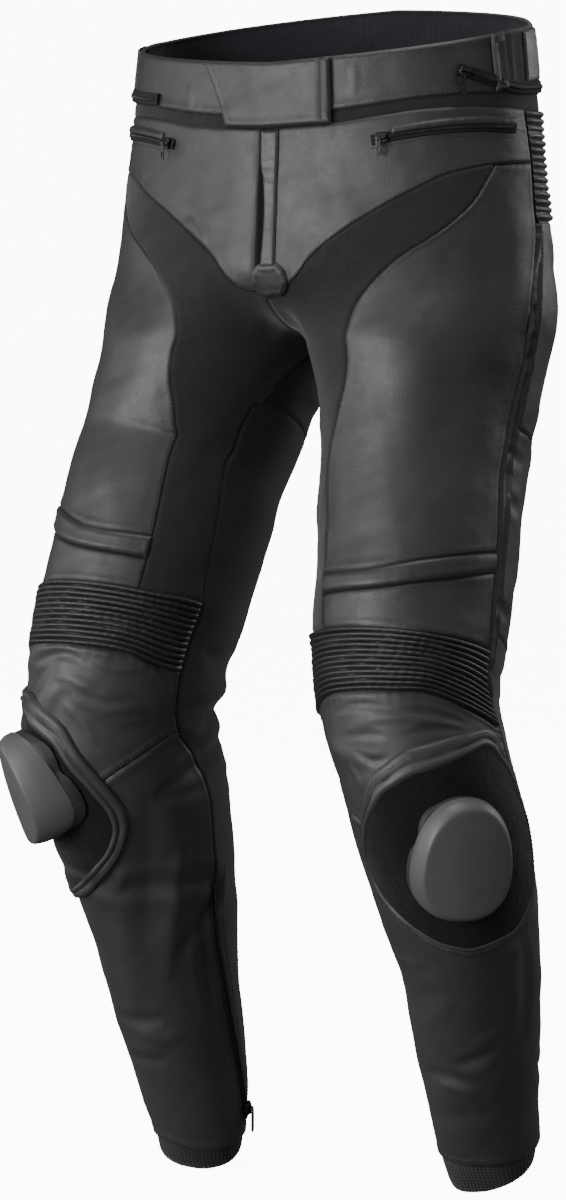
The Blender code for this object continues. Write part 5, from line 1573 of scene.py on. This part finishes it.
# ---------------------------------------------------------------- backs of the legs
# Leather down the outer back of the thigh, stretch cloth down its inner back and behind the
# knee, where it gathers into cross folds, and leather over the calf.
BACK_INNER = [(0.260, 0.800), (0.600, 0.800), (0.700, 0.835), (0.800, 0.865), (0.950, 0.870)]
THIGH_BACK_FOOT = [(0.45, 0.466), (0.80, 0.470)]
KNEE_BACK_FOOT = [(0.50, 0.600), (0.85, 0.600)]
INNER_BACK_FOOT = [(0.78, 0.558), (0.96, 0.565), (1.02, 0.565)]
BACK_FOLDS = {
    1: [([(0.330, 0.52), (0.352, 0.60), (0.362, 0.70)], 0.012, 0.0012),
        ([(0.410, 0.50), (0.424, 0.58), (0.430, 0.68)], 0.010, -0.0014),
        ([(0.488, 0.52), (0.496, 0.62), (0.494, 0.74)], 0.007, -0.0020),
        ([(0.510, 0.54), (0.520, 0.66), (0.516, 0.78)], 0.008, 0.0020),
        ([(0.596, 0.60), (0.604, 0.70), (0.600, 0.80)], 0.007, -0.0018),
        ([(0.640, 0.64), (0.676, 0.70), (0.720, 0.73)], 0.012, -0.0014),
        ([(0.790, 0.62), (0.802, 0.72), (0.798, 0.84)], 0.008, -0.0015),
        ([(0.866, 0.64), (0.874, 0.74), (0.868, 0.86)], 0.006, -0.0016),
        ([(0.884, 0.66), (0.892, 0.76), (0.886, 0.86)], 0.006, 0.0012),
        ([(0.500, 0.82), (0.512, 0.90), (0.508, 0.98)], 0.007, -0.0022)],
    -1: [([(0.322, 0.54), (0.340, 0.62), (0.356, 0.73)], 0.012, -0.0012),
         ([(0.402, 0.52), (0.412, 0.60), (0.424, 0.72)], 0.011, 0.0013),
         ([(0.480, 0.54), (0.492, 0.64), (0.490, 0.76)], 0.007, -0.0022),
         ([(0.502, 0.55), (0.514, 0.68), (0.510, 0.79)], 0.009, 0.0021),
         ([(0.602, 0.60), (0.612, 0.72), (0.606, 0.82)], 0.007, -0.0017),
         ([(0.650, 0.66), (0.692, 0.71), (0.740, 0.72)], 0.013, -0.0013),
         ([(0.800, 0.63), (0.810, 0.73), (0.806, 0.85)], 0.008, -0.0014),
         ([(0.870, 0.66), (0.880, 0.75), (0.872, 0.86)], 0.006, -0.0015),
         ([(0.560, 0.93), (0.566, 0.97), (0.562, 0.995)], 0.006, 0.0030),
         ([(0.496, 0.84), (0.506, 0.92), (0.500, 0.98)], 0.007, -0.0020)],
}
for name, side in HALVES.items():
    for places, width, height in BACK_FOLDS[side]:
        fold(side, places, width, height)
    backs = {}
    for part, left, right, top, foot, finishes, manner in (
        ("thigh_back", seam(SIDE_BACK), seam(BACK_INNER), seam(SEAT_FOOT), seam(THIGH_BACK_FOOT), LEATHER,
         {"fine": 0.0046}),
        ("thigh_inner_back", seam(BACK_INNER), inside_leg, seam(SEAT_FOOT), seam(INNER_BACK_FOOT), STRETCH,
         {"fine": 0.0042, "thick": 0.0013, "turn_in": 0.0008, "swell": 0.0003}),
        ("knee_back", seam(SIDE_BACK), seam(BACK_INNER), seam(THIGH_BACK_FOOT), seam(KNEE_BACK_FOOT),
         STRETCH,
         {"fine": 0.0040, "thick": 0.0013, "turn_in": 0.0008, "swell": 0.0002}),
        ("calf_back", seam(SIDE_BACK), seam(BACK_INNER), seam(KNEE_BACK_FOOT), seam(HEM), SHIN_LEATHER,
         {"fine": 0.0042}),
        ("calf_gusset", seam(BACK_INNER), inside_leg, seam(INNER_BACK_FOOT), seam(HEM), STRETCH,
         {"fine": 0.0036, "thick": 0.0013, "turn_in": 0.0008, "swell": 0.0002}),
    ):
        backs[part] = panel(
            f"{part}_panel_{name}", side, (left, right, top, foot), f"{part}_{name}", *finishes, **manner,
        )
    for part, edge, inset in (
        ("thigh_back", "foot", 0.0030), ("thigh_back", "top", 0.0030), ("thigh_back", "right", 0.0030),
        ("calf_back", "foot", 0.0085), ("calf_back", "right", 0.0030), ("calf_back", "left", 0.0030),
    ):
        sew(f"back_{name}", backs[part], edge, inset)
    finish_stitches(f"back_{name}")

# ---------------------------------------------------------------- calf zips
# A zip on the inside of each calf opens the leg to the hem. Its black tape is sewn under two
# folded edges of leather, and its slider stands closed at the hem with its pull hanging.
for name, side in HALVES.items():
    down = np.linspace(0.712, 0.930, 170)
    turn = read(INSEAM, 1, down)
    middle, outward = zip_line(f"calf_zip_{name}", side, down, turn, 0.0042, f"calf_zip_{name}", 0.0012,
                               (2, 6))
    cast_slider(
        f"calf_zip_slider_{name}", Vector(middle[-8]), Vector(middle[-10] - middle[-6]),
        Vector(outward[-8]), 0.0115, 0.0022,
    )
    pressed_pull(f"calf_zip_pull_{name}", 0.0055, 0.022, f"calf_pull_{name}", f"calf_pull_{name}_body")
    at = np.linspace(0.700, 0.934, 60)
    for beside in (-0.0290, 0.0250):
        sew_line(f"calf_zip_{name}", side, at, read(INSEAM, 1, at) + beside, 0.0002)
    finish_stitches(f"calf_zip_{name}")

# ---------------------------------------------------------------- cuffs
# A soft cuff of ribbed knit is set inside each hem and shows below it, longest at the front of
# the foot. Its ribs run up the leg.
knit, tree, shader = new_finish("knitted cuff", (0.008, 0.008, 0.008), 0.92, Sheen_Weight=0.2,
                                Specular_IOR_Level=0.25)
courses, fluff = wave(tree, 95.0, 1.5, "Y"), noise(tree, 600.0, 4.0)
yarn = combine(tree, "MULTIPLY", courses, fluff)
two_colours(tree, shader, yarn, (0.005, 0.005, 0.005), (0.012, 0.0119, 0.0115))
bumps(tree, shader, (courses, 0.0003, 0.5), (fluff, 0.0003, 0.6))
CUFF_RIBS = 72
CUFF_FOOT = {
    1: [(-0.10, 0.964), (0.05, 0.976), (0.28, 0.972), (0.42, 0.962), (0.75, 0.956), (0.90, 0.964)],
    -1: [(-0.10, 0.955), (0.05, 0.963), (0.28, 0.961), (0.42, 0.955), (0.75, 0.950), (0.90, 0.955)],
}
for name, side in HALVES.items():
    way = np.linspace(-0.10, 0.90, 433)[None]
    fall = np.linspace(0, 1, 11)[:, None]
    top = read(HEM, 1, way) - 0.0035
    down = top + (read(CUFF_FOOT[side], 1, way) - top) * fall
    plain, outward = form(side, down, way + 0 * down), out_of(side, down, way + 0 * down)
    knit_ribs = 0.00024 * np.cos(2 * pi * CUFF_RIBS * (way + 0.10)) * (1 - 0.5 * fall**6)
    height = -0.0026 + knit_ribs - 0.0012 * fall**8 + 0.0010 * np.sin(2 * pi * 3 * way + fall)
    points = plain + outward * (height + relief(side, plain))[..., None]
    points[:, -1] = points[:, 0]
    cuff = cloth(f"knit_cuff_{name}", points, 0.0016, [knit, knit], np.zeros(points.shape[:2]), side > 0)
    sewn_shut(cuff)
    carried(cuff, f"cuff_{name}")

# ---------------------------------------------------------------- done
# The patterns that were copied are taken away.
for pattern in (stitch, tooth):
    bpy.data.objects.remove(pattern)
